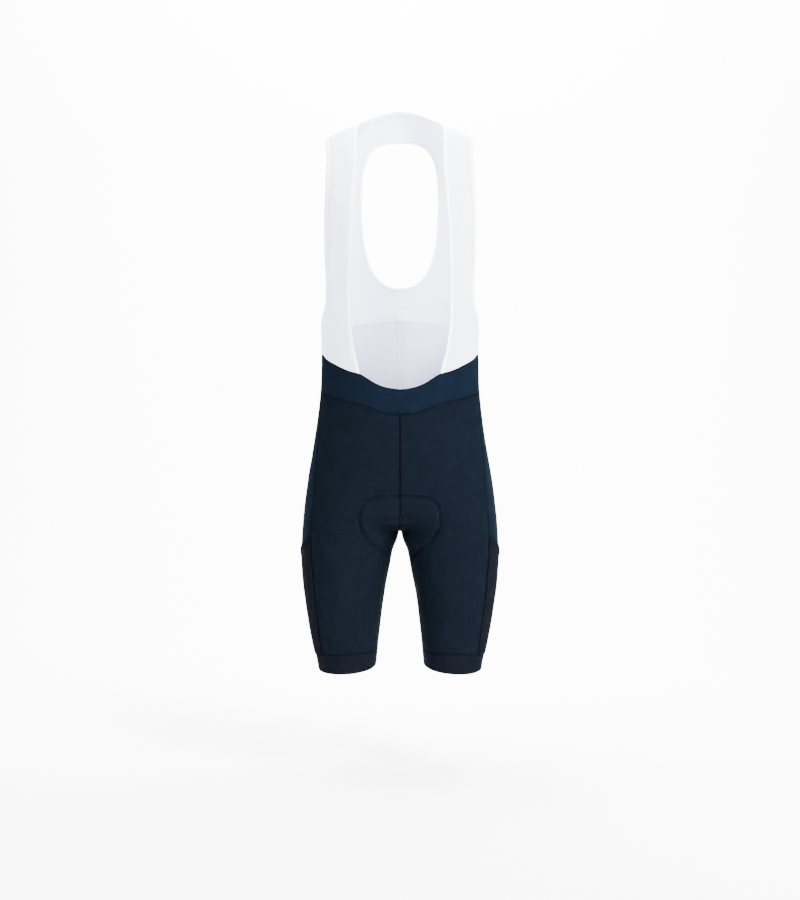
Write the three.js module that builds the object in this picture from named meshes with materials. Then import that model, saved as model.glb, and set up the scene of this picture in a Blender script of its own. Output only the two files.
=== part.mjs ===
// Cycling bib shorts with a thigh pocket on each leg, filled out as if worn, with nobody in them.
// Lengths are in millimetres. +Z is up and -Y is the front. The origin is midway between the crests of
// the two shoulder straps, where the wearer carries the garment. "left" is the wearer's left, at +X.
// Every panel is a thin wall laid on one body form: a stack of rounded sections, split into two legs
// below the crotch, with a sloping roof for the shoulders.
import * as THREE from 'three';

// Cloth
const SHORTS_CLOTH = 1.2; // compressive knit of the shorts
const MESH_CLOTH = 1.0; // fine knitted mesh of the bib
const TAPE = 1.6; // folded elastic tape on the free edges of the bib
const SEAM_GAP = 0.4; // parting between two pieces that are sewn edge to edge
const LAYER_GAP = 0.3; // parting between two pieces that lie on each other
const TAPE_WIDTH = 7;
const OVAL_HEM_WIDTH = 5;

// Heights
const HEM_BOTTOM = -888;
const HEM_SEAM = -863;
const HEM_RISE = 7; // how much higher the hem lies on the inner side of the leg
const HEM_DIP = 7; // how much lower its edge hangs at the front of the leg
const CROTCH = -662;
const YOKE_SEAM_SIDE = -438;
const BIB_SEAM_SIDE = -373; // where the white bib meets the shorts at the side
const ARMHOLE_BOTTOM = -325;

// The body form below the shoulders, one row for each section. outer is the half width of the outline,
// inner is where the section's inner side lies: below the crotch it is the inside of the leg, and above
// it a negative value makes the two halves run into each other. front and back are depths from centreY,
// and blend rounds the valley where the two halves meet.
const SECTIONS = [
  { z: 60, outer: 150, inner: -150, centreY: 0, front: 34, back: 64, blend: 0 },
  { z: 0, outer: 151, inner: -151, centreY: 0, front: 60, back: 82, blend: 0 },
  { z: -60, outer: 151, inner: -151, centreY: 0, front: 88, back: 98, blend: 0 },
  { z: -130, outer: 148, inner: -148, centreY: 0, front: 107, back: 107, blend: 0 },
  { z: -200, outer: 142, inner: -142, centreY: 0, front: 110, back: 105, blend: 0 },
  { z: -260, outer: 135.5, inner: -135.5, centreY: 0, front: 106, back: 98, blend: 0 },
  { z: -325, outer: 130.5, inner: -130.5, centreY: 0, front: 99, back: 91, blend: 0 },
  { z: -380, outer: 129.5, inner: -129.5, centreY: 0, front: 95, back: 89, blend: 2 },
  { z: -430, outer: 131, inner: -129, centreY: 0, front: 95, back: 94, blend: 8 },
  { z: -470, outer: 135, inner: -129, centreY: 1, front: 97, back: 103, blend: 16 },
  { z: -507, outer: 140, inner: -121, centreY: 2, front: 99, back: 112, blend: 25 },
  { z: -545, outer: 146.5, inner: -98, centreY: 3, front: 101, back: 120, blend: 32 },
  { z: -592, outer: 154, inner: -49, centreY: 5, front: 101, back: 125, blend: 34 },
  { z: -612, outer: 157, inner: -29.5, centreY: 6, front: 100, back: 124, blend: 31.5 },
  { z: -630, outer: 159, inner: -13, centreY: 7, front: 99, back: 121, blend: 26.5 },
  { z: -640, outer: 160, inner: -5, centreY: 7.5, front: 98.2, back: 118.3, blend: 22.3 },
  { z: -648, outer: 160.5, inner: 0.3, centreY: 7.8, front: 97.6, back: 115.6, blend: 18 },
  { z: -655, outer: 161, inner: 4, centreY: 8, front: 97, back: 112.8, blend: 13.3 },
  { z: -662, outer: 161.5, inner: 7, centreY: 8, front: 96.3, back: 109.7, blend: 7 },
  { z: -672, outer: 162, inner: 9, centreY: 8, front: 95.2, back: 105.3, blend: 6 },
  { z: -685, outer: 162.5, inner: 11.2, centreY: 7.8, front: 93.8, back: 100, blend: 4.2 },
  { z: -705, outer: 162.3, inner: 14.5, centreY: 7, front: 92, back: 95, blend: 2.5 },
  { z: -725, outer: 161, inner: 18, centreY: 6, front: 89.5, back: 91, blend: 1 },
  { z: -767, outer: 156.5, inner: 26, centreY: 3, front: 84, back: 84, blend: 0 },
  { z: -815, outer: 149, inner: 32, centreY: 0, front: 76, back: 76, blend: 0 },
  { z: -861, outer: 139.5, inner: 37, centreY: -3, front: 69, back: 68, blend: 0 },
  { z: -900, outer: 132, inner: 40.5, centreY: -5, front: 64, back: 63, blend: 0 },
];
const ROUNDNESS = 2.2; // power of the sections: 2 is an ellipse, and more is squarer

// The shoulders' roof: its crest at each distance from the middle, falling away to the front and back.
const CREST = [
  { x: 0, z: 66, y: 38 },
  { x: 20, z: 57, y: 35 },
  { x: 42, z: 37, y: 27 },
  { x: 52, z: 25, y: 22 },
  { x: 61, z: 15, y: 17 },
  { x: 75, z: 6, y: 12 },
  { x: 90, z: -0.5, y: 8 },
  { x: 121, z: -15.5, y: 0 },
  { x: 150, z: -31, y: -6 },
  { x: 175, z: -44, y: -10 },
];
const CREST_RADIUS = 48; // how sharply the roof bends over from front to back
const ROOF_SHARE = 0.85; // turns a height above the sloping roof into a distance from it
const ROOF_BLEND = 46; // how widely the roof runs into the chest and the back
const SHOULDER_CORE = -78; // height of the point inside the shoulders from which the roof is seen whole

// Seams down the outside of each leg, as angles round the leg: 0 is the front and 90 the outer side.
const SIDE_SEAMS = [
  { z: -373, front: 80, back: 101 },
  { z: -438, front: 78, back: 103 },
  { z: -470, front: 77, back: 104 },
  { z: -545, front: 68, back: 110 },
  { z: -627, front: 49, back: 118 },
  { z: -675, front: 42.5, back: 124 },
  { z: -720, front: 39.5, back: 127 },
  { z: -767, front: 37.5, back: 128 },
  { z: -815, front: 36.5, back: 128 },
  { z: -888, front: 40, back: 127 },
];

// Edges on the front of the bib, as seen from the front.
const NECK_EDGE_FRONT = [
  { x: 63, z: -408 },
  { x: 70, z: -386 },
  { x: 75.5, z: -361 },
  { x: 80, z: -325 },
  { x: 81, z: -281 },
  { x: 79.5, z: -214 },
  { x: 73.5, z: -121 },
  { x: 70, z: -44 },
];
const NECK_CREST_X = 61;
const NECK_SEAM_BACK = { x: 47.5, z: 25.5 }; // where the shoulder seam meets the neck edge
const NECK_EDGE_BACK = [
  { x: 30, z: 34 },
  { x: 14, z: 39 },
  { x: 0, z: 40.5 },
];
const ARMHOLE_FRONT = [
  { x: 127.5, z: -311 },
  { x: 122, z: -294 },
  { x: 120, z: -266 },
  { x: 121.5, z: -225 },
  { x: 122.5, z: -180 },
  { x: 121, z: -110 },
  { x: 119.5, z: -50 },
];
const ARM_CREST_X = 121;
const ARMHOLE_BACK = [
  { x: 116, z: -60 },
  { x: 108, z: -120 },
  { x: 105, z: -190 },
  { x: 109, z: -255 },
  { x: 120, z: -301 },
];
const SHOULDER_SEAM = { x: 119, behind: 30, below: 9 }; // the strap's join to the back, from the crest

// The front neckline's foot, the top edge of the shorts in front, and the seam under the waist yoke.
const BIB_SEAM = [
  { x: 63, z: -408 },
  { x: 82, z: -402.5 },
  { x: 104, z: -392 },
  { x: 122, z: -380 },
  { x: 127.5, z: -373 },
];
const SCOOP = [
  { x: 0, z: -432.5 },
  { x: 20, z: -430 },
  { x: 38, z: -423.5 },
  { x: 52, z: -415 },
  { x: 63, z: -408 },
];
const YOKE_SEAM = [
  { x: 0, z: -473 },
  { x: 30, z: -469.5 },
  { x: 60, z: -459 },
  { x: 98, z: -448 },
  { x: 128.5, z: -438 },
];
const BACK_RISE = [
  { x: 0, z: -431 },
  { x: 40, z: -428 },
  { x: 80, z: -412 },
  { x: 112, z: -389 },
  { x: 127, z: -373 },
];

// The opening between the shoulder blades.
const OVAL = { x: 65, top: -10, middle: -112, bottom: -254, powerTop: 3.1, powerBottom: 2.5 };

// Pockets
const REAR_MOUTH = [
  { x: 0, z: -312 },
  { x: 25, z: -313 },
  { x: 55, z: -317 },
  { x: 104, z: -324 },
  { x: 130, z: -332 },
];
const REAR_POCKET_COLUMNS = 9; // columns of the back, each side of the middle, that the pocket covers
const POCKET_TAB = { halfWidth: 10, top: -295, bottom: -313 };
const THIGH_MOUTH = [
  { share: 0, z: -669 },
  { share: 0.25, z: -681 },
  { share: 0.5, z: -693 },
  { share: 0.75, z: -701 },
  { share: 1, z: -705 },
];
const MOUTH_HEM = { height: 8, extra: 0.9 };

// The seat pad: how far it reaches to each side, and its thickness, along the seam under the body.
const PAD_FRONT_TOP = -606;
const PAD_BACK_TOP = -566;
const PAD_ROWS = [
  { along: 0, half: 24, thick: 2.5 },
  { along: 0.06, half: 50, thick: 4 },
  { along: 0.16, half: 68, thick: 6 },
  { along: 0.3, half: 66, thick: 8 },
  { along: 0.45, half: 50, thick: 9 },
  { along: 0.6, half: 58, thick: 10 },
  { along: 0.78, half: 80, thick: 9 },
  { along: 0.92, half: 66, thick: 5 },
  { along: 1, half: 34, thick: 2.5 },
];
const PAD_EDGE = 2; // thickness at the pad's side edges
const PAD_GAP = 2.8; // room between the pad and the cloth, whose facets cut across its curves
const TAB_GAP = 0.5; // room between the tab and the back

// Mesh steps: cells of each region, down it or across it
const STEPS = {
  yoke: 4, toCrotch: 13, toHem: 9, band: 2, front: 11, side: 4, back: 11,
  strap: 24, strapWidth: 5, armholeBack: 15, neckBack: 5, lowerBack: 4, ring: 4, pocket: 8, padWidth: 7,
  padLength: 22,
};

const COLUMN_CROWDING = 1.3; // 1 gives even columns, and more crowds them towards the middle

const lerp = THREE.MathUtils.lerp;
const toRadians = THREE.MathUtils.degToRad;
const vector = (x, y, z) => new THREE.Vector3(x, y, z);

// A smooth curve through the named columns of a table, read at one value of its key column.
function read(table, key, at) {
  const up = table[table.length - 1][key] > table[0][key];
  const rows = up ? table : [...table].reverse();
  const last = rows.length - 1;
  const place = THREE.MathUtils.clamp(at, rows[0][key], rows[last][key]);
  let i = 0;
  while (i < last - 1 && place > rows[i + 1][key]) i += 1;
  const width = rows[i + 1][key] - rows[i][key];
  const t = (place - rows[i][key]) / width;
  const found = {};
  for (const name of Object.keys(rows[0])) {
    const slopeAt = (j) => {
      const a = rows[Math.max(j - 1, 0)];
      const b = rows[Math.min(j + 1, last)];
      return ((b[name] - a[name]) / (b[key] - a[key])) * width;
    };
    const p = rows[i][name];
    const q = rows[i + 1][name];
    const square = t * t;
    const cube = square * t;
    found[name] = p * (2 * cube - 3 * square + 1) + slopeAt(i) * (cube - 2 * square + t)
      + q * (3 * square - 2 * cube) + slopeAt(i + 1) * (cube - square);
  }
  return found;
}

function sectionAt(z) {
  const s = read(SECTIONS, 'z', z);
  const blend = Math.max(s.blend, 0);
  const reach = Math.hypot(s.outer, blend);
  return {
    centreX: (reach + s.inner) / 2, halfWidth: (reach - s.inner) / 2, centreY: s.centreY,
    front: s.front, back: s.back, blend,
  };
}

// The point of a section at a height and an angle round its own centre, on the +X side.
function around(z, degrees) {
  const s = sectionAt(z);
  const a = toRadians(degrees);
  const depth = Math.cos(a) > 0 ? s.front : s.back;
  const inverse = (Math.abs(Math.sin(a)) / s.halfWidth) ** ROUNDNESS
    + (Math.abs(Math.cos(a)) / depth) ** ROUNDNESS;
  const radius = inverse ** (-1 / ROUNDNESS);
  const x = Math.sqrt(Math.max((radius * Math.sin(a) + s.centreX) ** 2 - s.blend ** 2, 0));
  return vector(x, s.centreY - radius * Math.cos(a), z);
}

// The angle at which a section meets the middle plane, in front or at the back. Where the legs are
// apart it is the angle of the inseam.
function middleAngle(z, atBack) {
  const s = sectionAt(z);
  const share = (s.centreX - s.blend) / s.halfWidth;
  if (share >= 1) return atBack ? 270 : -90;
  const depth = (atBack ? s.back : s.front) * (1 - Math.abs(share) ** ROUNDNESS) ** (1 / ROUNDNESS);
  const turned = THREE.MathUtils.radToDeg(Math.atan2(share * s.halfWidth, depth));
  return atBack ? 180 + turned : -turned;
}

// Distance outside the form: negative within it.
function formDistance(p) {
  const s = sectionAt(p.z);
  const across = Math.hypot(p.x, s.blend) - s.centreX;
  const deep = p.y - s.centreY;
  const ratio = ((Math.abs(across) / s.halfWidth) ** ROUNDNESS
    + (Math.abs(deep) / (deep < 0 ? s.front : s.back)) ** ROUNDNESS) ** (1 / ROUNDNESS);
  const column = ratio < 1e-6 ? -s.halfWidth : Math.hypot(across, deep) * (1 - 1 / ratio);
  const crest = read(CREST, 'x', Math.abs(p.x));
  const roof = ROOF_SHARE * (p.z - crest.z + (p.y - crest.y) ** 2 / (2 * CREST_RADIUS));
  const near = Math.max(ROOF_BLEND - Math.abs(column - roof), 0);
  return Math.max(column, roof) + near ** 2 / (4 * ROOF_BLEND);
}

function outward(p) {
  const step = 0.4;
  const slope = (dx, dy, dz) => formDistance(vector(p.x + dx, p.y + dy, p.z + dz))
    - formDistance(vector(p.x - dx, p.y - dy, p.z - dz));
  return vector(slope(step, 0, 0), slope(0, step, 0), slope(0, 0, step)).normalize();
}

// Where the straight line from a point inside the form, through another point, leaves the form.
function castThrough(core, through) {
  const direction = through.clone().sub(core);
  let inside = 0.2;
  let outside = 2.5;
  for (let i = 0; i < 40; i += 1) {
    const middle = (inside + outside) / 2;
    if (formDistance(core.clone().addScaledVector(direction, middle)) < 0) inside = middle;
    else outside = middle;
  }
  return core.clone().addScaledVector(direction, (inside + outside) / 2);
}

// The point of the form that is seen at x and z from the front or from the back.
function seen(place, atBack) {
  const core = vector(place.x, atBack ? 8 : 5, place.z);
  return castThrough(core, core.clone().add(vector(0, atBack ? 95 : -95, 0)));
}

function onCrest(x) {
  const crest = read(CREST, 'x', x);
  return castThrough(vector(x, crest.y, SHOULDER_CORE), vector(x, crest.y, crest.z));
}

// A point inside the form, from which a place on the upper body is seen squarely.
function coreOf(p) {
  return vector(0.4 * p.x, 6, Math.min(p.z, SHOULDER_CORE));
}

// Points of the form from one point to another, turning round a point inside it.
function span(from, to, steps) {
  const core = coreOf(from.clone().add(to).multiplyScalar(0.5));
  const start = from.clone().sub(core);
  const end = to.clone().sub(core);
  const angle = start.angleTo(end);
  const row = [];
  for (let i = 0; i <= steps; i += 1) {
    const t = i / steps;
    const direction = start.clone().multiplyScalar(Math.sin((1 - t) * angle))
      .addScaledVector(end, Math.sin(t * angle));
    const atEnd = i === 0 ? from : to;
    row.push(i === 0 || i === steps ? atEnd.clone() : castThrough(core, core.clone().add(direction)));
  }
  return row;
}

// One step after another along the form from a point, turning with it, and the points passed.
function walk(from, heading, distance, steps) {
  const passed = [from.clone()];
  const finer = 6;
  let p = from.clone();
  let direction = heading.clone();
  for (let i = 1; i <= steps * finer; i += 1) {
    p = p.clone().addScaledVector(direction, distance / (steps * finer));
    const normal = outward(p);
    p.addScaledVector(normal, -formDistance(p));
    direction = direction.addScaledVector(normal, -direction.dot(normal)).normalize();
    if (i % finer === 0) passed.push(p.clone());
  }
  return passed;
}

// A smooth line through a few points of the form, laid on it. It is cut at the points whose numbers are
// given in cuts, and each stretch has its own number of even steps. Stretches share their end points.
function linesOnForm(points, cuts, steps, closed = false) {
  const curve = new THREE.CatmullRomCurve3(points, closed, 'centripetal');
  const whole = closed ? points.length : points.length - 1;
  const fine = 400;
  return steps.map((count, k) => {
    const passed = [];
    for (let i = 0; i <= fine; i += 1) {
      const at = lerp(cuts[k], cuts[k + 1], i / fine);
      passed.push(curve.getPoint(at / whole));
    }
    return evenly(passed, count).map((p) => castThrough(coreOf(p), p));
  });
}

// The points that divide a line of many points into even steps.
function evenly(line, steps) {
  const lengths = [0];
  for (let i = 1; i < line.length; i += 1) lengths.push(lengths[i - 1] + line[i].distanceTo(line[i - 1]));
  const made = [];
  let at = 0;
  for (let k = 0; k <= steps; k += 1) {
    const target = (lengths[lengths.length - 1] * k) / steps;
    while (at < line.length - 2 && lengths[at + 1] < target) at += 1;
    const share = (target - lengths[at]) / (lengths[at + 1] - lengths[at]);
    made.push(line[at].clone().lerp(line[at + 1], Math.min(share, 1)));
  }
  return made;
}

// A line beside another one on the form, at a distance to the right of its direction seen from outside.
function beside(line, distance, closed = false) {
  const last = line.length - 1;
  return line.map((p, i) => {
    const before = line[closed ? (i + last - 1) % last : Math.max(i - 1, 0)];
    const after = line[closed ? (i + 1) % last : Math.min(i + 1, last)];
    const along = after.clone().sub(before);
    const heading = along.cross(outward(p)).normalize();
    const path = walk(p, heading, distance, 1);
    return path[path.length - 1];
  });
}

const mirrored = (p) => vector(-p.x, p.y, p.z);

// A row from the middle outwards, with its mirror image put before it.
const bothSides = (row) => [...row.slice(1).reverse().map(mirrored), ...row];

// A closed wall over patches of points of the form. Points of two patches that coincide are one point,
// and every edge is drawn in by half a seam gap, to part the piece from its neighbours. lift raises the
// outer face, and thickness is a number or a function of a point's row and place.
function wall(patches, { thickness, lift = 0, mirror = false }) {
  const known = new Map();
  const points = [];
  const thick = [];
  const numberOf = (p, i, j) => {
    const key = p.toArray().map((value) => value.toFixed(2)).join(' ').replaceAll('-0.00', '0.00');
    if (!known.has(key)) {
      known.set(key, points.length);
      points.push(p.clone());
      thick.push(typeof thickness === 'function' ? thickness(i, j) : thickness);
    }
    return known.get(key);
  };
  const triangles = patches.flatMap((patch) => {
    const ids = patch.map((row, i) => row.map((p, j) => numberOf(p, i, j)));
    return trianglesOf(ids, points, patchFacing(patch) > 0);
  });
  const rims = rimsOf(triangles);
  drawIn(points, rims);
  const normals = points.map(outward);
  const outer = points.map((p, k) => p.clone().addScaledVector(normals[k], lift));
  const inner = points.map((p, k) => p.clone().addScaledVector(normals[k], lift - thick[k]));
  const under = points.length;
  const faces = triangles.flatMap(([a, b, c]) => [a, b, c, under + a, under + c, under + b]);
  for (const [a, b] of rims) faces.push(b, a, under + a, b, under + a, under + b);
  const geometry = new THREE.BufferGeometry();
  const positions = [...outer, ...inner].flatMap((p) => [mirror ? -p.x : p.x, p.y, p.z]);
  geometry.setAttribute('position', new THREE.Float32BufferAttribute(positions, 3));
  geometry.setIndex(mirror ? faces.reverse() : faces);
  geometry.computeVertexNormals();
  return geometry;
}

// Two triangles for each cell of a grid of point numbers, parted along the cell's shorter diagonal,
// without those that have shrunk to a line.
function trianglesOf(ids, points, facesOut) {
  const triangles = [];
  for (let i = 0; i < ids.length - 1; i += 1) {
    for (let j = 0; j < ids[0].length - 1; j += 1) {
      const corners = [ids[i][j], ids[i + 1][j], ids[i + 1][j + 1], ids[i][j + 1]];
      const [a, b, c, d] = facesOut ? corners : corners.reverse();
      const straight = points[a].distanceTo(points[c]) <= points[b].distanceTo(points[d]) + 1e-6;
      triangles.push(...(straight ? [[a, b, c], [a, c, d]] : [[a, b, d], [b, c, d]]));
    }
  }
  return triangles.filter((triangle) => new Set(triangle).size === 3);
}

// The edges that only one triangle has, in that triangle's direction.
function rimsOf(triangles) {
  const edges = triangles.flatMap(([a, b, c]) => [[a, b], [b, c], [c, a]]);
  const names = new Set(edges.map(([a, b]) => `${a} ${b}`));
  return edges.filter(([a, b]) => !names.has(`${b} ${a}`));
}

// Moves the points of the rims towards the inside of their piece by half a seam gap.
function drawIn(points, rims) {
  const inwards = new Map();
  for (const [a, b] of rims) {
    const along = points[b].clone().sub(points[a]);
    const inward = outward(points[a]).cross(along).normalize();
    for (const k of [a, b]) inwards.set(k, (inwards.get(k) ?? vector(0, 0, 0)).add(inward));
  }
  for (const [k, sum] of inwards) {
    points[k].addScaledVector(sum, SEAM_GAP / Math.max(sum.lengthSq(), 1));
  }
}

// Positive where a patch's rows and places turn so that its faces look out of the form.
function patchFacing(patch) {
  const i = Math.floor((patch.length - 1) / 2);
  const j = Math.floor((patch[0].length - 1) / 2);
  const down = patch[i + 1][j].clone().sub(patch[i][j]);
  const across = patch[i][j + 1].clone().sub(patch[i][j]);
  return down.cross(across).dot(outward(patch[i][j]));
}

// Shorts: three regions round each leg, in shared rows, so that seams meet point for point.

const eased = {
  slowing: (share) => Math.sin((share * Math.PI) / 2),
  gathering: (share) => 1 - Math.cos((share * Math.PI) / 2),
};
const levels = [BIB_SEAM_SIDE]; // height of each row at the side
for (let i = 1; i <= STEPS.yoke; i += 1) levels.push(lerp(BIB_SEAM_SIDE, YOKE_SEAM_SIDE, i / STEPS.yoke));
for (let i = 1; i <= STEPS.toCrotch; i += 1) {
  levels.push(lerp(YOKE_SEAM_SIDE, CROTCH, eased.slowing(i / STEPS.toCrotch)));
}
for (let i = 1; i <= STEPS.toHem; i += 1) {
  levels.push(lerp(CROTCH, HEM_SEAM, eased.gathering(i / STEPS.toHem)));
}
const lastRow = levels.length - 1;

// The angles between which a region lies at a height, from the middle or the inseam to its side seam.
function reachOf(region, z) {
  const seams = read(SIDE_SEAMS, 'z', z);
  if (region === 'side') return [seams.front, seams.back];
  return region === 'front' ? [middleAngle(z, false), seams.front] : [middleAngle(z, true), seams.back];
}

function onRegion(region, share, z) {
  const [from, to] = reachOf(region, z);
  return around(z, lerp(from, to, share));
}

// The share of a region's width at one of its columns. Front and back columns lie closer together
// towards the middle, where the cloth folds under the body.
function shareAt(region, column) {
  const even = column / STEPS[region];
  return region === 'side' ? even : even ** COLUMN_CROWDING;
}

// How much higher the hem lies at an angle round the leg than at its outer side.
function hemRise(region, share) {
  const [from, to] = reachOf(region, HEM_SEAM);
  return (HEM_RISE * (1 - Math.sin(toRadians(lerp(from, to, share))))) / 2;
}

// How much lower the hem's edge hangs at an angle round the leg, most of all at the front.
function hemDip(region, share) {
  const [from, to] = reachOf(region, HEM_SEAM);
  return HEM_DIP * Math.max(0, Math.cos(toRadians(lerp(from, to, share)))) ** 2;
}

// The height at which a column of a region crosses an edge that is given by a table of x and z.
function crossing(region, share, table) {
  let z = table[table.length - 1].z;
  for (let i = 0; i < 40; i += 1) z = lerp(z, read(table, 'x', onRegion(region, share, z).x).z, 0.5);
  return z;
}

// The rows of a region from one row number to the hem seam, under a top edge given by heights.
function legRows(region, first, topHeights) {
  const places = STEPS[region];
  const rows = [];
  for (let i = first; i <= lastRow; i += 1) {
    const row = [];
    for (let j = 0; j <= places; j += 1) {
      const share = shareAt(region, j);
      const above = levels[i] > CROTCH;
      const down = above ? (levels[first] - levels[i]) / (levels[first] - CROTCH) : 0;
      const below = above ? 0 : (CROTCH - levels[i]) / (CROTCH - HEM_SEAM);
      const z = above ? lerp(topHeights[j], CROTCH, down) : levels[i] + below * hemRise(region, share);
      row.push(onRegion(region, share, z));
    }
    rows.push(row);
  }
  return rows;
}

// The heights of a region's columns on such an edge, which ends at a side seam at the height sideZ.
function heightsOf(region, table, sideZ) {
  const places = STEPS[region];
  const heights = Array.from({ length: places }, (_, j) => crossing(region, shareAt(region, j), table));
  return [...heights, sideZ];
}

// Rows between two edges of a region, given by the height of each column on them.
function rowsBetween(region, tops, bottoms, steps) {
  return Array.from({ length: steps + 1 }, (_, i) => tops.map((top, j) => (
    onRegion(region, shareAt(region, j), lerp(top, bottoms[j], i / steps)))));
}

const yokeTop = heightsOf('front', [...SCOOP, ...BIB_SEAM.slice(1)], BIB_SEAM_SIDE);
const yokeBottom = heightsOf('front', YOKE_SEAM, YOKE_SEAM_SIDE);
const backTop = heightsOf('back', BACK_RISE, BIB_SEAM_SIDE);
const flat = (height) => Array(STEPS.side + 1).fill(height);
const yokeRows = rowsBetween('front', yokeTop, yokeBottom, STEPS.yoke);
const frontRows = legRows('front', STEPS.yoke, yokeBottom);
const sideRows = legRows('side', 0, flat(BIB_SEAM_SIDE));
const backRows = legRows('back', 0, backTop);

// The leg band: round the leg from the hem seam down, closed on itself.
function bandRows() {
  const rows = [];
  for (let i = 0; i <= STEPS.band; i += 1) {
    const down = i / STEPS.band;
    const level = lerp(HEM_SEAM, HEM_BOTTOM, down);
    const height = (region, share) => level + hemRise(region, share) - down * hemDip(region, share);
    const places = (region) => Array.from({ length: STEPS[region] + 1 }, (_, j) => (
      onRegion(region, shareAt(region, j), height(region, shareAt(region, j)))));
    rows.push([...places('front'), ...places('side').slice(1), ...places('back').reverse().slice(1)]);
  }
  return rows;
}

// Thigh pocket: lies on the side panel, between its seams, from a sloping mouth to the hem seam.
function thighPocketRows() {
  const hemSeam = sideRows[lastRow];
  const at = (drop, down = 0) => hemSeam.map((foot, j) => {
    const share = shareAt('side', j);
    return onRegion('side', share, lerp(read(THIGH_MOUTH, 'share', share).z - drop, foot.z, down));
  });
  const cloth = [];
  for (let i = 0; i <= STEPS.pocket; i += 1) cloth.push(at(MOUTH_HEM.height, i / STEPS.pocket));
  return { hem: [at(0), at(MOUTH_HEM.height)], cloth };
}

// Bib: the lines of its edges and seams on the +X side.

const cornerColumn = 6; // column of the yoke at which the neck edge starts
const sideSeamPoint = (z) => onRegion('side', 0.5, z);

function seamBehindCrest() {
  const { x, behind, below } = SHOULDER_SEAM;
  const crest = read(CREST, 'x', x);
  const place = vector(x, crest.y + behind, crest.z - below);
  return castThrough(vector(x, crest.y, SHOULDER_CORE), place);
}

const neckPoints = [
  yokeRows[0][cornerColumn],
  ...NECK_EDGE_FRONT.map((place) => seen(place, false)),
  onCrest(NECK_CREST_X),
  seen(NECK_SEAM_BACK, true),
  ...NECK_EDGE_BACK.map((place) => seen(place, true)),
];
const neckCut = neckPoints.length - 1 - NECK_EDGE_BACK.length;
const [neckFront, neckBack] = linesOnForm(neckPoints, [0, neckCut, neckPoints.length - 1],
  [STEPS.strap + 2, STEPS.neckBack]);

const armPoints = [
  sideSeamPoint(ARMHOLE_BOTTOM),
  ...ARMHOLE_FRONT.map((place) => seen(place, false)),
  onCrest(ARM_CREST_X),
  seamBehindCrest(),
  ...ARMHOLE_BACK.map((place) => seen(place, true)),
];
const armCut = armPoints.length - 1 - ARMHOLE_BACK.length;
const [armFront, armBack] = linesOnForm(armPoints, [0, armCut, armPoints.length],
  [STEPS.strap, STEPS.armholeBack], true);

// Where a tape lies along an edge, the cloth begins at the tape's inner side.
const neckLine = bothSides([...neckFront, ...neckBack.slice(1)].reverse());
const neckTapeLine = beside(neckLine, -TAPE_WIDTH);
const tapeFoot = yokeRows[0][cornerColumn].clone();
tapeFoot.addScaledVector(yokeRows[0][cornerColumn + 1].clone().sub(tapeFoot).normalize(), TAPE_WIDTH);
neckTapeLine[neckTapeLine.length - 1] = tapeFoot;
neckTapeLine[0] = mirrored(tapeFoot);
const neckSide = neckTapeLine.slice((neckTapeLine.length - 1) / 2).reverse();

const armLine = [...armFront, ...armBack.slice(1)];
const armTapeLine = beside(armLine, -TAPE_WIDTH, true);
const armSide = armTapeLine.slice(0, STEPS.strap + 1);
const armSideBack = armTapeLine.slice(STEPS.strap).reverse();

// The mesh strap and side in front: from the seam with the shorts, over the shoulder, to the back.
function bibFrontRows() {
  const sideEdge = [
    sideSeamPoint(BIB_SEAM_SIDE),
    sideSeamPoint((BIB_SEAM_SIDE + armSide[0].z) / 2),
    ...armSide,
  ];
  const top = yokeRows[0];
  const foot = [tapeFoot, top[cornerColumn + 1], ...top.slice(cornerColumn + 3), sideEdge[0]];
  const above = sideEdge.slice(1).map((p, i) => span(neckSide[i + 1], p, STEPS.strapWidth));
  return [foot, ...above];
}

// The lower back: from the rear pockets' mouth line to the seam with the shorts.
function lowerBackRows() {
  const backs = Array.from({ length: STEPS.back + 1 }, (_, j) => shareAt('back', j));
  const last = STEPS.back;
  const onMouth = (share) => onRegion('back', share, crossing('back', share, REAR_MOUTH));
  const mouth = [
    ...backs.slice(0, last - 1).map(onMouth),
    ...armSideBack.slice(0, 4).reverse(),
  ];
  const below = (column, t) => {
    const z = (foot) => lerp(mouth[column].z, foot, t);
    if (column <= last) return onRegion('back', backs[column], z(backTop[column]));
    return onRegion('side', 1 - (column - last) / 4, z(BIB_SEAM_SIDE));
  };
  const rows = [mouth];
  for (let i = 1; i <= STEPS.lowerBack; i += 1) {
    rows.push(mouth.map((_, column) => below(column, i / STEPS.lowerBack)));
  }
  return rows;
}

// Half of the oval opening's edge, from its foot up to its top, with one point for each of a line's.
function ovalHalf(line) {
  const lengths = [0];
  for (let i = 1; i < line.length; i += 1) lengths.push(lengths[i - 1] + line[i].distanceTo(line[i - 1]));
  return lengths.map((length) => {
    const angle = toRadians(lerp(-90, 90, length / lengths[lengths.length - 1]));
    const up = angle > 0;
    const height = up ? OVAL.top - OVAL.middle : OVAL.middle - OVAL.bottom;
    const power = up ? OVAL.powerTop : OVAL.powerBottom;
    const reach = ((Math.abs(Math.cos(angle)) / OVAL.x) ** power
      + (Math.abs(Math.sin(angle)) / height) ** power) ** (-1 / power);
    return seen({ x: reach * Math.cos(angle), z: OVAL.middle + reach * Math.sin(angle) }, true);
  });
}

// A line closed by its own mirror image.
const closedLine = (half) => [...half, ...half.slice(0, -1).reverse().map(mirrored)];

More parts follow.
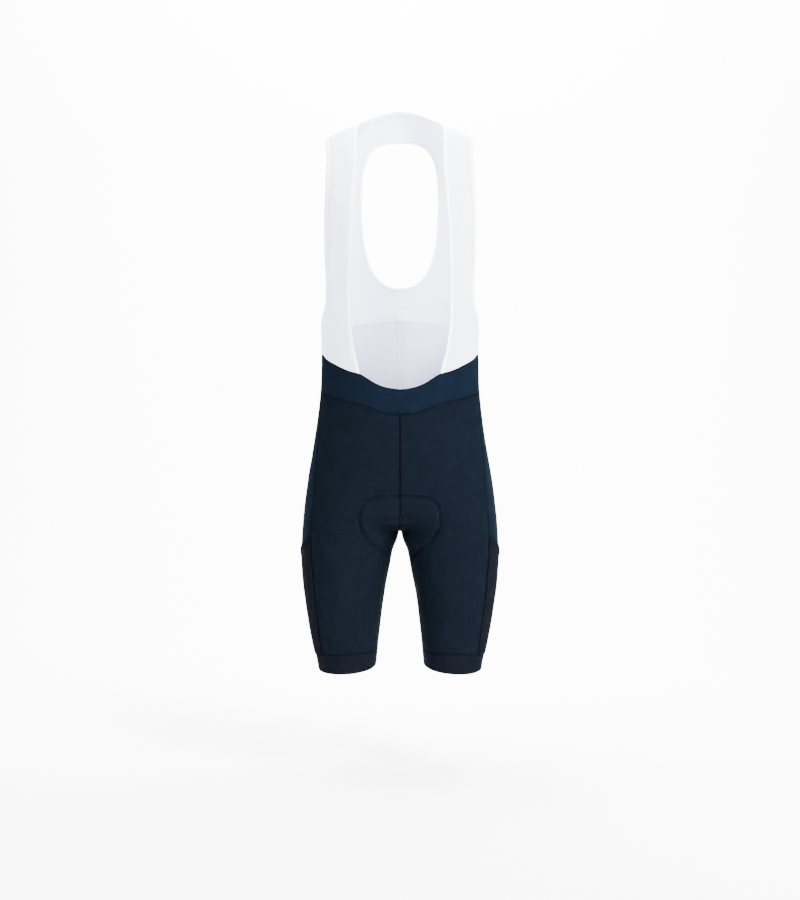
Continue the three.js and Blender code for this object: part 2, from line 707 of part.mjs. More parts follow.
const bibFront = bibFrontRows();
const lowerBackHalf = lowerBackRows();
const roundHalf = [
  ...lowerBackHalf[0].slice(0, -3),
  ...armSideBack.slice(4),
  ...bibFront[bibFront.length - 1].slice(1, -1).reverse(),
  ...neckSide.slice(STEPS.strap + 2),
];
const roundLine = closedLine(roundHalf);
const ovalEdge = closedLine(ovalHalf(roundHalf));
const ovalTapeLine = beside(ovalEdge, -OVAL_HEM_WIDTH, true);

function upperBackRows() {
  const rays = roundLine.map((p, i) => span(ovalTapeLine[i], p, STEPS.ring));
  return Array.from({ length: STEPS.ring + 1 }, (_, k) => rays.map((ray) => ray[k]));
}

// The half-moon over the middle of the rear pockets' mouths, round side down.
function pocketTabRows() {
  const rows = [];
  for (const share of [0, 0.35, 0.65, 0.88, 0.97]) {
    const half = POCKET_TAB.halfWidth * Math.sqrt(1 - share ** 2);
    const z = lerp(POCKET_TAB.top, POCKET_TAB.bottom, share);
    rows.push([-1, -0.5, 0, 0.5, 1].map((across) => seen({ x: across * half, z }, true)));
  }
  return rows;
}

// The seat pad: rows across the seam that runs under the body, from the front up to the seat.
function padRows() {
  const under = [];
  const samples = 60;
  const inMiddle = (z, atBack) => around(z, middleAngle(z, atBack)).setX(0);
  for (let i = 0; i <= samples; i += 1) {
    under.push(inMiddle(lerp(PAD_FRONT_TOP, CROTCH, eased.slowing(i / samples)), false));
  }
  for (let i = 1; i <= samples; i += 1) {
    under.push(inMiddle(lerp(CROTCH, PAD_BACK_TOP, eased.gathering(i / samples)), true));
  }
  return evenly(under, STEPS.padLength).map((p, i) => {
    const { half } = read(PAD_ROWS, 'along', i / STEPS.padLength);
    return bothSides(walk(p, vector(1, 0, 0), half, STEPS.padWidth));
  });
}

function padThickness(i, j) {
  const { thick } = read(PAD_ROWS, 'along', i / STEPS.padLength);
  const toEdge = Math.abs(j - STEPS.padWidth) / STEPS.padWidth;
  return lerp(thick, PAD_EDGE, toEdge ** 2);
}

// Pieces

const FINISHES = {
  shorts: { color: 0x1b2a3b, roughness: 0.7 },
  thigh: { color: 0x16222d, roughness: 0.72 },
  pocket: { color: 0x191c21, roughness: 0.85 },
  band: { color: 0x181e28, roughness: 0.7 },
  mesh: { color: 0xf0eff4, roughness: 0.8 },
  tape: { color: 0xf8f8fb, roughness: 0.6 },
  pad: { color: 0x22262c, roughness: 0.95 },
};

const garment = new THREE.Group();
garment.name = 'bib_shorts';

function add(name, finish, geometry) {
  const material = new THREE.MeshStandardMaterial({ ...finish, metalness: 0 });
  const mesh = new THREE.Mesh(geometry, material);
  mesh.name = name;
  garment.add(mesh);
}

// Adds a piece that both sides have.
function addPair(name, finish, patches, options) {
  add(`${name}_left`, finish, wall(patches, options));
  add(`${name}_right`, finish, wall(patches, { ...options, mirror: true }));
}

const shorts = { thickness: SHORTS_CLOTH };
addPair('front_leg', FINISHES.thigh, [frontRows], shorts);
addPair('back_leg', FINISHES.thigh, [backRows], shorts);
addPair('side_panel', FINISHES.shorts, [sideRows], shorts);
addPair('leg_band', FINISHES.band, [bandRows()], shorts);
const yokeWhole = yokeRows.map(bothSides);
add('front_yoke', FINISHES.shorts, wall([yokeWhole], shorts));

const thighPocket = thighPocketRows();
addPair('thigh_pocket', FINISHES.pocket, [thighPocket.cloth],
  { thickness: SHORTS_CLOTH, lift: LAYER_GAP + SHORTS_CLOTH });
addPair('thigh_pocket_hem', FINISHES.pocket, [thighPocket.hem],
  { thickness: SHORTS_CLOTH + MOUTH_HEM.extra, lift: LAYER_GAP + SHORTS_CLOTH + MOUTH_HEM.extra });

addPair('bib_front', FINISHES.mesh, [bibFront], { thickness: MESH_CLOTH });
const lowerBack = lowerBackHalf.map(bothSides);
const upperBack = upperBackRows();
add('bib_back', FINISHES.mesh, wall([lowerBack, upperBack], { thickness: MESH_CLOTH }));

const tape = { thickness: TAPE, lift: (TAPE - MESH_CLOTH) / 2 };
add('neck_tape', FINISHES.tape, wall([[neckLine, neckTapeLine]], tape));
addPair('armhole_tape', FINISHES.tape, [[armLine, armTapeLine]], tape);
add('oval_tape', FINISHES.tape, wall([[ovalEdge, ovalTapeLine]], tape));

const middleColumn = (lowerBack[0].length - 1) / 2;
const pocketRows = lowerBack.map((row) => (
  row.slice(middleColumn - REAR_POCKET_COLUMNS, middleColumn + REAR_POCKET_COLUMNS + 1)));
add('rear_pocket', FINISHES.mesh, wall([pocketRows],
  { thickness: MESH_CLOTH, lift: LAYER_GAP + MESH_CLOTH }));
add('pocket_tab', FINISHES.tape, wall([pocketTabRows()],
  { thickness: MESH_CLOTH, lift: -MESH_CLOTH - TAB_GAP }));
add('seat_pad', FINISHES.pad, wall([padRows()],
  { thickness: padThickness, lift: -SHORTS_CLOTH - PAD_GAP }));

export default garment;
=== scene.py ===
# Cycling bib shorts, filled out as if worn. The tables are in millimetres and the meshes in metres.
import math
import bpy
import bmesh
import numpy as np
from mathutils import Matrix, Vector


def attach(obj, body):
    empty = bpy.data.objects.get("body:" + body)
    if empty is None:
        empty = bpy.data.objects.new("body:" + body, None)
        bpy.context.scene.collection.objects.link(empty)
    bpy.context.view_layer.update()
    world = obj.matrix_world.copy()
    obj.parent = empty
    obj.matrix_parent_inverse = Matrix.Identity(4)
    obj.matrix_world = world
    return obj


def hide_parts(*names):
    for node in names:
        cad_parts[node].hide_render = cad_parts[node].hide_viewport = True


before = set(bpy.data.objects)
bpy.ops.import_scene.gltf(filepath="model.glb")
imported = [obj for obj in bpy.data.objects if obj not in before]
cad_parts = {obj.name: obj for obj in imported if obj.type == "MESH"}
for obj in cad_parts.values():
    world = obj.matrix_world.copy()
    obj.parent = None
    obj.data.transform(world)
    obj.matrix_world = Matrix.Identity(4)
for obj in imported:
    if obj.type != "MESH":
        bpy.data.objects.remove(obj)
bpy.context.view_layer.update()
metre = 0.001  # from the tables' millimetres

# The body form: the same rounded sections and sloping shoulders as the solids have.
bodyForm = {
    "columns": ("z", "outer", "inner", "centreY", "front", "back", "blend"),
    "sections": [
        (60, 150, -150, 0, 34, 64, 0),
        (0, 151, -151, 0, 60, 82, 0),
        (-60, 151, -151, 0, 88, 98, 0),
        (-130, 148, -148, 0, 107, 107, 0),
        (-200, 142, -142, 0, 110, 105, 0),
        (-260, 135.5, -135.5, 0, 106, 98, 0),
        (-325, 130.5, -130.5, 0, 99, 91, 0),
        (-380, 129.5, -129.5, 0, 95, 89, 2),
        (-430, 131, -129, 0, 95, 94, 8),
        (-470, 135, -129, 1, 97, 103, 16),
        (-507, 140, -121, 2, 99, 112, 25),
        (-545, 146.5, -98, 3, 101, 120, 32),
        (-592, 154, -49, 5, 101, 125, 34),
        (-612, 157, -29.5, 6, 100, 124, 31.5),
        (-630, 159, -13, 7, 99, 121, 26.5),
        (-640, 160, -5, 7.5, 98.2, 118.3, 22.3),
        (-648, 160.5, 0.3, 7.8, 97.6, 115.6, 18),
        (-655, 161, 4, 8, 97, 112.8, 13.3),
        (-662, 161.5, 7, 8, 96.3, 109.7, 7),
        (-672, 162, 9, 8, 95.2, 105.3, 6),
        (-685, 162.5, 11.2, 7.8, 93.8, 100, 4.2),
        (-705, 162.3, 14.5, 7, 92, 95, 2.5),
        (-725, 161, 18, 6, 89.5, 91, 1),
        (-767, 156.5, 26, 3, 84, 84, 0),
        (-815, 149, 32, 0, 76, 76, 0),
        (-861, 139.5, 37, -3, 69, 68, 0),
        (-900, 132, 40.5, -5, 64, 63, 0),
    ],
    "roundness": 2.2,
    "crest": [
        (0, 66, 38), (20, 57, 35), (42, 37, 27), (52, 25, 22), (61, 15, 17), (75, 6, 12),
        (90, -0.5, 8), (121, -15.5, 0), (150, -31, -6), (175, -44, -10),
    ],
    "crestRadius": 48,
    "roofShare": 0.85,
    "roofBlend": 46,
    "shoulderCore": -78,
}

# Where the seams and edges run, as in the solids.
cut = {
    "hemBottom": -888, "hemSeam": -863, "hemRise": 7, "hemDip": 7, "crotch": -662,
    "yokeSeamSide": -438, "bibSeamSide": -373, "armholeBottom": -325,
    "tapeWidth": 7, "ovalHem": 5, "layerGap": 0.3, "crowding": 1.3,
    "yokeTop": [
        (0, -432.5), (20, -430), (38, -423.5), (52, -415), (63, -408), (82, -402.5),
        (104, -392), (122, -380), (127.5, -373),
    ],
    "yokeSeam": [(0, -473), (30, -469.5), (60, -459), (98, -448), (128.5, -438)],
    "backRise": [(0, -431), (40, -428), (80, -412), (112, -389), (127, -373)],
    "rearMouth": [(0, -312), (25, -313), (55, -317), (104, -324), (130, -332)],
    "sideSeams": [
        (-373, 80, 101), (-438, 78, 103), (-470, 77, 104), (-545, 68, 110), (-627, 49, 118),
        (-675, 42.5, 124), (-720, 39.5, 127), (-767, 37.5, 128), (-815, 36.5, 128), (-888, 40, 127),
    ],
    "neckFront": [
        (63, -408), (70, -386), (75.5, -361), (80, -325), (81, -281), (79.5, -214),
        (73.5, -121), (70, -44),
    ],
    "neckCrest": 61,
    "neckBack": [(47.5, 25.5), (30, 34), (14, 39), (0, 40.5)],
    "armFront": [
        (127.5, -311), (122, -294), (120, -266), (121.5, -225), (122.5, -180), (121, -110),
        (119.5, -50),
    ],
    "armCrest": 121,
    "armSeamBack": 119,
    "armBack": [(116, -60), (108, -120), (105, -190), (109, -255), (120, -301)],
    "shoulderSeamBack": 30,
    "oval": {
        "halfWidth": 65, "top": -10, "middle": -112, "bottom": -254, "upper": 3.1, "lower": 2.5,
    },
    "thighMouth": [(0, -669), (0.25, -681), (0.5, -693), (0.75, -701), (1, -705)],
    "padLine": (-606, -566),
    "padRows": [
        (0, 24, 2.5), (0.06, 50, 4), (0.16, 68, 6), (0.3, 66, 8), (0.45, 50, 9), (0.6, 58, 10),
        (0.78, 80, 9), (0.92, 66, 5), (1, 34, 2.5),
    ],
}

# Cells of the first, wide grid of each region; every one is divided again further on.
steps = {
    "yoke": 4, "toCrotch": 13, "toHem": 9, "band": 2, "front": 11, "side": 4, "back": 11,
    "strap": 24, "strapWidth": 5, "armBack": 15, "neckBack": 5, "lowerBack": 4, "ring": 4,
    "pocket": 8, "padWidth": 7, "padLength": 22, "corner": 6, "pocketColumns": 9,
}


def mix(a, b, t):
    return a + (b - a) * t


def curveThrough(columns, rows):  # a smooth curve through the rows, read by their first column
    data = np.array(sorted(rows), float)
    keys = data[:, 0]
    last = len(keys) - 1
    before = np.maximum(np.arange(last + 1) - 1, 0)
    after = np.minimum(np.arange(last + 1) + 1, last)
    slopes = (data[after] - data[before]) / (keys[after] - keys[before])[:, None]

    def readAt(at):
        place = np.clip(np.asarray(at, float), keys[0], keys[-1])
        i = np.clip(np.searchsorted(keys, place, side="left") - 1, 0, last - 1)
        width = keys[i + 1] - keys[i]
        t = (place - keys[i]) / width
        t2, t3 = t * t, t * t * t
        value = (
            data[i] * (2 * t3 - 3 * t2 + 1)[..., None]
            + slopes[i] * ((t3 - 2 * t2 + t) * width)[..., None]
            + data[i + 1] * (3 * t2 - 2 * t3)[..., None]
            + slopes[i + 1] * ((t3 - t2) * width)[..., None]
        )
        return {name: value[..., k] for k, name in enumerate(columns)}

    return readAt


readSection = curveThrough(bodyForm["columns"], bodyForm["sections"])
readCrest = curveThrough(("x", "z", "y"), bodyForm["crest"])
readSideSeams = curveThrough(("z", "front", "back"), cut["sideSeams"])
readYokeTop, readYokeSeam, readBackRise, readRearMouth = (
    curveThrough(("x", "z"), cut[name]) for name in ("yokeTop", "yokeSeam", "backRise", "rearMouth")
)
readThighMouth = curveThrough(("share", "z"), cut["thighMouth"])
readPad = curveThrough(("along", "half", "thick"), cut["padRows"])


def sectionAt(z):
    s = readSection(z)
    s["blend"] = np.maximum(s["blend"], 0)
    reach = np.hypot(s["outer"], s["blend"])
    s["centreX"] = (reach + s["inner"]) / 2
    s["halfWidth"] = (reach - s["inner"]) / 2
    return s


def aroundForm(z, degrees):  # the form at a height and an angle round its section, on the +X side
    z, degrees = np.broadcast_arrays(np.asarray(z, float), np.asarray(degrees, float))
    s = sectionAt(z)
    a = np.radians(degrees)
    power = bodyForm["roundness"]
    depth = np.where(np.cos(a) > 0, s["front"], s["back"])
    inverse = (np.abs(np.sin(a)) / s["halfWidth"]) ** power + (np.abs(np.cos(a)) / depth) ** power
    radius = inverse ** (-1 / power)
    x = np.sqrt(np.maximum((radius * np.sin(a) + s["centreX"]) ** 2 - s["blend"] ** 2, 0))
    return np.stack([x, s["centreY"] - radius * np.cos(a), z], axis=-1)


def middleAngle(z, atBack):  # where a section meets the middle plane, or the inseam of a leg
    s = sectionAt(z)
    power = bodyForm["roundness"]
    share = (s["centreX"] - s["blend"]) / s["halfWidth"]
    near = np.clip(share, -1, 1)
    depth = (s["back"] if atBack else s["front"]) * (1 - np.abs(near) ** power) ** (1 / power)
    turned = np.degrees(np.arctan2(near * s["halfWidth"], depth))
    apart = share >= 1
    return np.where(apart, 270, 180 + turned) if atBack else np.where(apart, -90, -turned)


def formDistance(p):  # negative inside the form
    s = sectionAt(p[..., 2])
    power = bodyForm["roundness"]
    across = np.hypot(p[..., 0], s["blend"]) - s["centreX"]
    deep = p[..., 1] - s["centreY"]
    depth = np.where(deep < 0, s["front"], s["back"])
    ratio = (np.abs(across) / s["halfWidth"]) ** power + (np.abs(deep) / depth) ** power
    ratio = ratio ** (1 / power)
    column = np.hypot(across, deep) * (1 - 1 / np.maximum(ratio, 1e-6))
    crest = readCrest(np.abs(p[..., 0]))
    fall = (p[..., 1] - crest["y"]) ** 2 / (2 * bodyForm["crestRadius"])
    roof = bodyForm["roofShare"] * (p[..., 2] - crest["z"] + fall)
    near = np.maximum(bodyForm["roofBlend"] - np.abs(column - roof), 0)
    return np.maximum(column, roof) + near**2 / (4 * bodyForm["roofBlend"])


def outwardOf(p):
    step = 0.4
    slopes = []
    for axis in range(3):
        shift = np.zeros(3)
        shift[axis] = step
        slopes.append(formDistance(p + shift) - formDistance(p - shift))
    return unitOf(np.stack(slopes, axis=-1))


def unitOf(v):
    return v / np.maximum(np.linalg.norm(v, axis=-1, keepdims=True), 1e-9)


def castThrough(core, through):  # where lines from inside the form leave it
    direction = through - core
    inside = np.full(direction.shape[:-1], 0.2)
    outside = np.full(direction.shape[:-1], 2.5)
    for _ in range(36):
        middle = (inside + outside) / 2
        within = formDistance(core + direction * middle[..., None]) < 0
        inside = np.where(within, middle, inside)
        outside = np.where(within, outside, middle)
    return core + direction * ((inside + outside) / 2)[..., None]


def coreOf(p):
    z = np.minimum(p[..., 2], bodyForm["shoulderCore"])
    return np.stack([0.4 * p[..., 0], np.full(z.shape, 6.0), z], axis=-1)


def seenOn(x, z, atBack):  # the form at x and z, seen from the front or the back
    x, z = np.broadcast_arrays(np.asarray(x, float), np.asarray(z, float))
    core = np.stack([x, np.full(x.shape, 8.0 if atBack else 5.0), z], axis=-1)
    return castThrough(core, core + np.array([0, 95.0 if atBack else -95.0, 0]))


def overShoulder(x, behind):  # on the crest of the shoulder, or so far behind it
    crest = readCrest(x)
    core = np.array([x, crest["y"], bodyForm["shoulderCore"]], float)
    lower = 9 if behind else 0
    return castThrough(core, np.array([x, crest["y"] + behind, crest["z"] - lower], float))


def evenSteps(line, count):
    lengths = lengthsOf(line)
    at = np.linspace(0, lengths[-1], count + 1)
    return np.stack([np.interp(at, lengths, line[:, k]) for k in range(3)], axis=-1)


def lengthsOf(line):
    return np.concatenate([[0], np.cumsum(np.linalg.norm(np.diff(line, axis=0), axis=1))])


def smoothLine(points, first, last, closed, count=400):  # a centripetal curve through a few points
    n = len(points)
    spans = n if closed else n - 1
    made = []
    for at in np.linspace(first, last, count + 1):
        k = min(int(at), spans - 1)
        t = at - k
        p1, p2 = points[k], points[(k + 1) % n]
        p0 = points[(k - 1) % n] if closed or k > 0 else 2 * p1 - p2
        p3 = points[(k + 2) % n] if closed or k + 2 < n else 2 * p2 - p1
        d0, d1, d2 = (np.linalg.norm(b - a) ** 0.5 for a, b in ((p0, p1), (p1, p2), (p2, p3)))
        out = ((p1 - p0) / d0 - (p2 - p0) / (d0 + d1) + (p2 - p1) / d1) * d1
        into = ((p2 - p1) / d1 - (p3 - p1) / (d1 + d2) + (p3 - p2) / d2) * d1
        t2, t3 = t * t, t**3
        made.append(
            p1 * (2 * t3 - 3 * t2 + 1) + out * (t3 - 2 * t2 + t)
            + p2 * (3 * t2 - 2 * t3) + into * (t3 - t2)
        )
    return np.array(made)


def lineOnForm(points, first, last, count, closed=False):
    line = evenSteps(smoothLine(points, first, last, closed), count)
    return castThrough(coreOf(line), line)


def walkOn(start, heading, distance, count):  # steps along the form, with the points passed
    p, direction = start.copy(), np.broadcast_to(heading, start.shape).copy()
    stride = np.broadcast_to(np.asarray(distance, float), p.shape[:-1]) / (count * 6)
    passed = [p.copy()]
    for i in range(1, count * 6 + 1):
        p = p + direction * stride[..., None]
        normal = outwardOf(p)
        p = p - normal * formDistance(p)[..., None]
        direction = unitOf(direction - normal * np.sum(direction * normal, axis=-1, keepdims=True))
        if i % 6 == 0:
            passed.append(p.copy())
    return np.stack(passed)


def besideLine(line, distance, closed=False):  # to the right of its direction, seen from outside
    i = np.arange(len(line))
    last = len(line) - 1
    before = line[(i + last - 1) % last] if closed else line[np.maximum(i - 1, 0)]
    after = line[(i + 1) % last] if closed else line[np.minimum(i + 1, last)]
    heading = unitOf(np.cross(after - before, outwardOf(line)))
    return walkOn(line, heading, distance, 1)[-1]


def spanRows(starts, ends, count):  # across the form between two lines, turning round its inside
    core = coreOf((starts + ends) / 2)
    a, b = starts - core, ends - core
    angle = np.arccos(np.clip(np.sum(unitOf(a) * unitOf(b), axis=-1), -1, 1))[..., None]
    row = [starts]
    for t in np.linspace(0, 1, count + 1)[1:-1]:
        row.append(castThrough(core, core + a * np.sin((1 - t) * angle) + b * np.sin(t * angle)))
    row.append(ends)
    return np.stack(row, axis=-2)


def mirrored(p):
    return p * np.array([-1, 1, 1])


def bothSides(half):  # rows of points from the middle outwards, with their mirror image
    return np.concatenate([mirrored(half[..., 1:, :])[..., ::-1, :], half], axis=-2)


# Shorts: three regions round each leg, between the middle or the inseam and the side seams.
levels = np.concatenate([
    [cut["bibSeamSide"]],
    mix(cut["bibSeamSide"], cut["yokeSeamSide"], np.arange(1, steps["yoke"] + 1) / steps["yoke"]),
    mix(
        cut["yokeSeamSide"], cut["crotch"],
        np.sin(np.arange(1, steps["toCrotch"] + 1) / steps["toCrotch"] * math.pi / 2),
    ),
    mix(
        cut["crotch"], cut["hemSeam"],
        1 - np.cos(np.arange(1, steps["toHem"] + 1) / steps["toHem"] * math.pi / 2),
    ),
])


def sharesOf(region):
    even = np.arange(steps[region] + 1) / steps[region]
    return even if region == "side" else even ** cut["crowding"]


def onRegion(region, share, z):
    seams = readSideSeams(z)
    if region == "side":
        return aroundForm(z, mix(seams["front"], seams["back"], share))
    if region == "front":
        return aroundForm(z, mix(middleAngle(z, False), seams["front"], share))
    return aroundForm(z, mix(middleAngle(z, True), seams["back"], share))


def crossing(region, shares, readEdge, sideZ):  # heights at which columns cross an edge
    z = np.full(shares.shape, float(sideZ))
    for _ in range(40):
        z = mix(z, readEdge(onRegion(region, shares, z)[..., 0])["z"], 0.5)
    return z


def heightsOf(region, readEdge, sideZ):
    heights = crossing(region, sharesOf(region), readEdge, sideZ)
    heights[-1] = sideZ
    return heights


def hemAngle(region, shares):
    seams = readSideSeams(cut["hemSeam"])
    if region == "side":
        return np.radians(mix(seams["front"], seams["back"], shares))
    inseam = middleAngle(cut["hemSeam"], region == "back")
    return np.radians(mix(inseam, seams[region], shares))


def hemRise(region, shares):
    return cut["hemRise"] * (1 - np.sin(hemAngle(region, shares))) / 2


def hemDip(region, shares):
    return cut["hemDip"] * np.maximum(np.cos(hemAngle(region, shares)), 0) ** 2


def legRows(region, first, tops):
    shares = sharesOf(region)
    rows = []
    for level in levels[first:]:
        down = (levels[first] - level) / (levels[first] - cut["crotch"])
        below = (cut["crotch"] - level) / (cut["crotch"] - cut["hemSeam"])
        above = level > cut["crotch"]
        z = mix(tops, cut["crotch"], down) if above else level + below * hemRise(region, shares)
        rows.append(onRegion(region, shares, z))
    return np.stack(rows)


def bandRows():
    rows = []
    for t in np.linspace(0, 1, steps["band"] + 1):
        level = mix(cut["hemSeam"], cut["hemBottom"], t)
        front, side, back = (
            onRegion(name, shares, level + hemRise(name, shares) - t * hemDip(name, shares))
            for name, shares in ((name, sharesOf(name)) for name in ("front", "side", "back"))
        )
        rows.append(np.concatenate([front, side[1:], back[::-1][1:]]))
    return np.stack(rows)


yokeTop = heightsOf("front", readYokeTop, cut["bibSeamSide"])
yokeBottom = heightsOf("front", readYokeSeam, cut["yokeSeamSide"])
backTop = heightsOf("back", readBackRise, cut["bibSeamSide"])
yokeHalf = np.stack([
    onRegion("front", sharesOf("front"), mix(yokeTop, yokeBottom, t))
    for t in np.linspace(0, 1, steps["yoke"] + 1)
])
frontRows = legRows("front", steps["yoke"], yokeBottom)
sideRows = legRows("side", 0, np.full(steps["side"] + 1, float(cut["bibSeamSide"])))
backRows = legRows("back", 0, backTop)


def thighPocketRows(hemHeight):
    share = sharesOf("side")
    mouth = readThighMouth(share)["z"]

    def rowAt(drop, down):
        return onRegion("side", share, mix(mouth - drop, sideRows[-1][:, 2], down))

    cloth = np.stack([rowAt(hemHeight, t) for t in np.linspace(0, 1, steps["pocket"] + 1)])
    return np.stack([rowAt(hemHeight * part, 0) for part in (0, 0.5, 1)]), cloth


print("shorts laid out")

# Bib: the lines of its edges and seams on the +X side, and the patches between them.
def sideSeam(z):
    return onRegion("side", np.asarray(0.5), np.asarray(float(z)))


neckPoints = [
    yokeHalf[0, steps["corner"]],
    *(seenOn(x, z, False) for x, z in cut["neckFront"]),
    overShoulder(cut["neckCrest"], 0),
    *(seenOn(x, z, True) for x, z in cut["neckBack"]),
]
neckCut = len(neckPoints) - len(cut["neckBack"])
neckHalf = np.concatenate([
    lineOnForm(neckPoints, 0, neckCut, steps["strap"] + 2),
    lineOnForm(neckPoints, neckCut, len(neckPoints) - 1, steps["neckBack"])[1:],
])
armPoints = [
    sideSeam(cut["armholeBottom"]),
    *(seenOn(x, z, False) for x, z in cut["armFront"]),
    overShoulder(cut["armCrest"], 0),
    overShoulder(cut["armSeamBack"], cut["shoulderSeamBack"]),
    *(seenOn(x, z, True) for x, z in cut["armBack"]),
]
armCut = len(armPoints) - 1 - len(cut["armBack"])
armLine = np.concatenate([
    lineOnForm(armPoints, 0, armCut, steps["strap"], closed=True),
    lineOnForm(armPoints, armCut, len(armPoints), steps["armBack"], closed=True)[1:],
])
neckLine = bothSides(neckHalf[::-1])
neckTapeLine = besideLine(neckLine, -cut["tapeWidth"])
corner = yokeHalf[0, steps["corner"]]
tapeFoot = corner + unitOf(yokeHalf[0, steps["corner"] + 1] - corner) * cut["tapeWidth"]
neckTapeLine[-1] = tapeFoot
neckTapeLine[0] = mirrored(tapeFoot)
neckSide = neckTapeLine[(len(neckTapeLine) - 1) // 2:][::-1]
armTapeLine = besideLine(armLine, -cut["tapeWidth"], closed=True)
armSide = armTapeLine[: steps["strap"] + 1]
armSideBack = armTapeLine[steps["strap"]:][::-1]


def bibFrontRows():
    halfWay = (cut["bibSeamSide"] + armSide[0, 2]) / 2
    sideEdge = np.concatenate([[sideSeam(cut["bibSeamSide"])], [sideSeam(halfWay)], armSide])
    top = yokeHalf[0]
    foot = np.stack([tapeFoot, top[steps["corner"] + 1], *top[steps["corner"] + 3:], sideEdge[0]])
    above = spanRows(neckSide[1: len(sideEdge)], sideEdge[1:], steps["strapWidth"])
    return np.concatenate([foot[None], above])


def lowerBackRows():
    backs, last = sharesOf("back"), steps["back"]
    mouthZ = crossing("back", backs, readRearMouth, cut["rearMouth"][-1][1])
    mouth = np.concatenate([onRegion("back", backs, mouthZ)[: last - 1], armSideBack[:4][::-1]])
    rows = [mouth]
    for t in np.arange(1, steps["lowerBack"] + 1) / steps["lowerBack"]:
        inner = onRegion("back", backs, mix(mouth[: last + 1, 2], backTop, t))
        beyond = 1 - (np.arange(last + 1, len(mouth)) - last) / 4
        outer = onRegion("side", beyond, mix(mouth[last + 1:, 2], cut["bibSeamSide"], t))
        rows.append(np.concatenate([inner, outer]))
    return np.stack(rows)


def ovalHalf(line):
    lengths = lengthsOf(line)
    angle = np.radians(mix(-90, 90, lengths / lengths[-1]))
    oval = cut["oval"]
    up = angle > 0
    height = np.where(up, oval["top"] - oval["middle"], oval["middle"] - oval["bottom"])
    power = np.where(up, oval["upper"], oval["lower"])
    along, above = np.cos(angle), np.sin(angle)
    inverse = (np.abs(along) / oval["halfWidth"]) ** power + (np.abs(above) / height) ** power
    reach = inverse ** (-1 / power)
    return seenOn(reach * along, oval["middle"] + reach * above, True)


def closedLine(half):
    return np.concatenate([half, mirrored(half[:-1])[::-1]])


bibFront = bibFrontRows()
lowerHalf = lowerBackRows()
roundHalf = np.concatenate([
    lowerHalf[0][:-3], armSideBack[4:], bibFront[-1][1:-1][::-1], neckSide[steps["strap"] + 2:],
])
roundLine = closedLine(roundHalf)
ovalEdge = closedLine(ovalHalf(roundHalf))
ovalTapeLine = besideLine(ovalEdge, -cut["ovalHem"], closed=True)
upperBack = np.swapaxes(spanRows(ovalTapeLine, roundLine, steps["ring"]), 0, 1)
lowerBack = bothSides(lowerHalf)
print("bib laid out")


# Finer grids: smooth curves through the wide grid's points, laid back on the form.
cornerBelow = 0.7  # a line that bends more than this, as a cosine, keeps its corner


def finerAlong(p, factor, closed):
    forward = np.diff(p, axis=0)
    width = np.maximum(np.linalg.norm(forward, axis=-1, keepdims=True), 1e-6)
    slope = forward / width
    n = len(p)
    inner = np.arange(n) if closed else np.arange(1, n - 1)
    before, after = (inner - 1) % (n - 1), inner % (n - 1)
    bend = np.sum(slope[before] * slope[after], axis=-1, keepdims=True) > cornerBelow
    joint = slope[before] * width[after] + slope[after] * width[before]
    joint = joint / (width[before] + width[after])
    out, into = np.zeros_like(p), np.zeros_like(p)
    out[0], into[-1] = slope[0], slope[-1]
    out[inner] = np.where(bend, joint, slope[after])
    into[inner] = np.where(bend, joint, slope[before])
    t = (np.arange(factor) / factor).reshape(1, factor, 1, 1)
    t2, t3 = t * t, t**3
    made = (
        p[:-1, None] * (2 * t3 - 3 * t2 + 1) + (out[:-1] * width)[:, None] * (t3 - 2 * t2 + t)
        + p[1:, None] * (3 * t2 - 2 * t3) + (into[1:] * width)[:, None] * (t3 - t2)
    )
    return np.concatenate([made.reshape(-1, *p.shape[1:]), p[-1:]])


def finer(patch, down, across, closed=False):
    fine = finerAlong(patch, down, False)
    fine = np.swapaxes(finerAlong(np.swapaxes(fine, 0, 1), across, closed), 0, 1)
    for _ in range(2):
        fine = fine - outwardOf(fine) * formDistance(fine)[..., None]
    return fine


def finerLine(line, factor, closed=False):
    fine = finerAlong(line[:, None], factor, closed)[:, 0]
    return fine - outwardOf(fine) * formDistance(fine)[..., None]


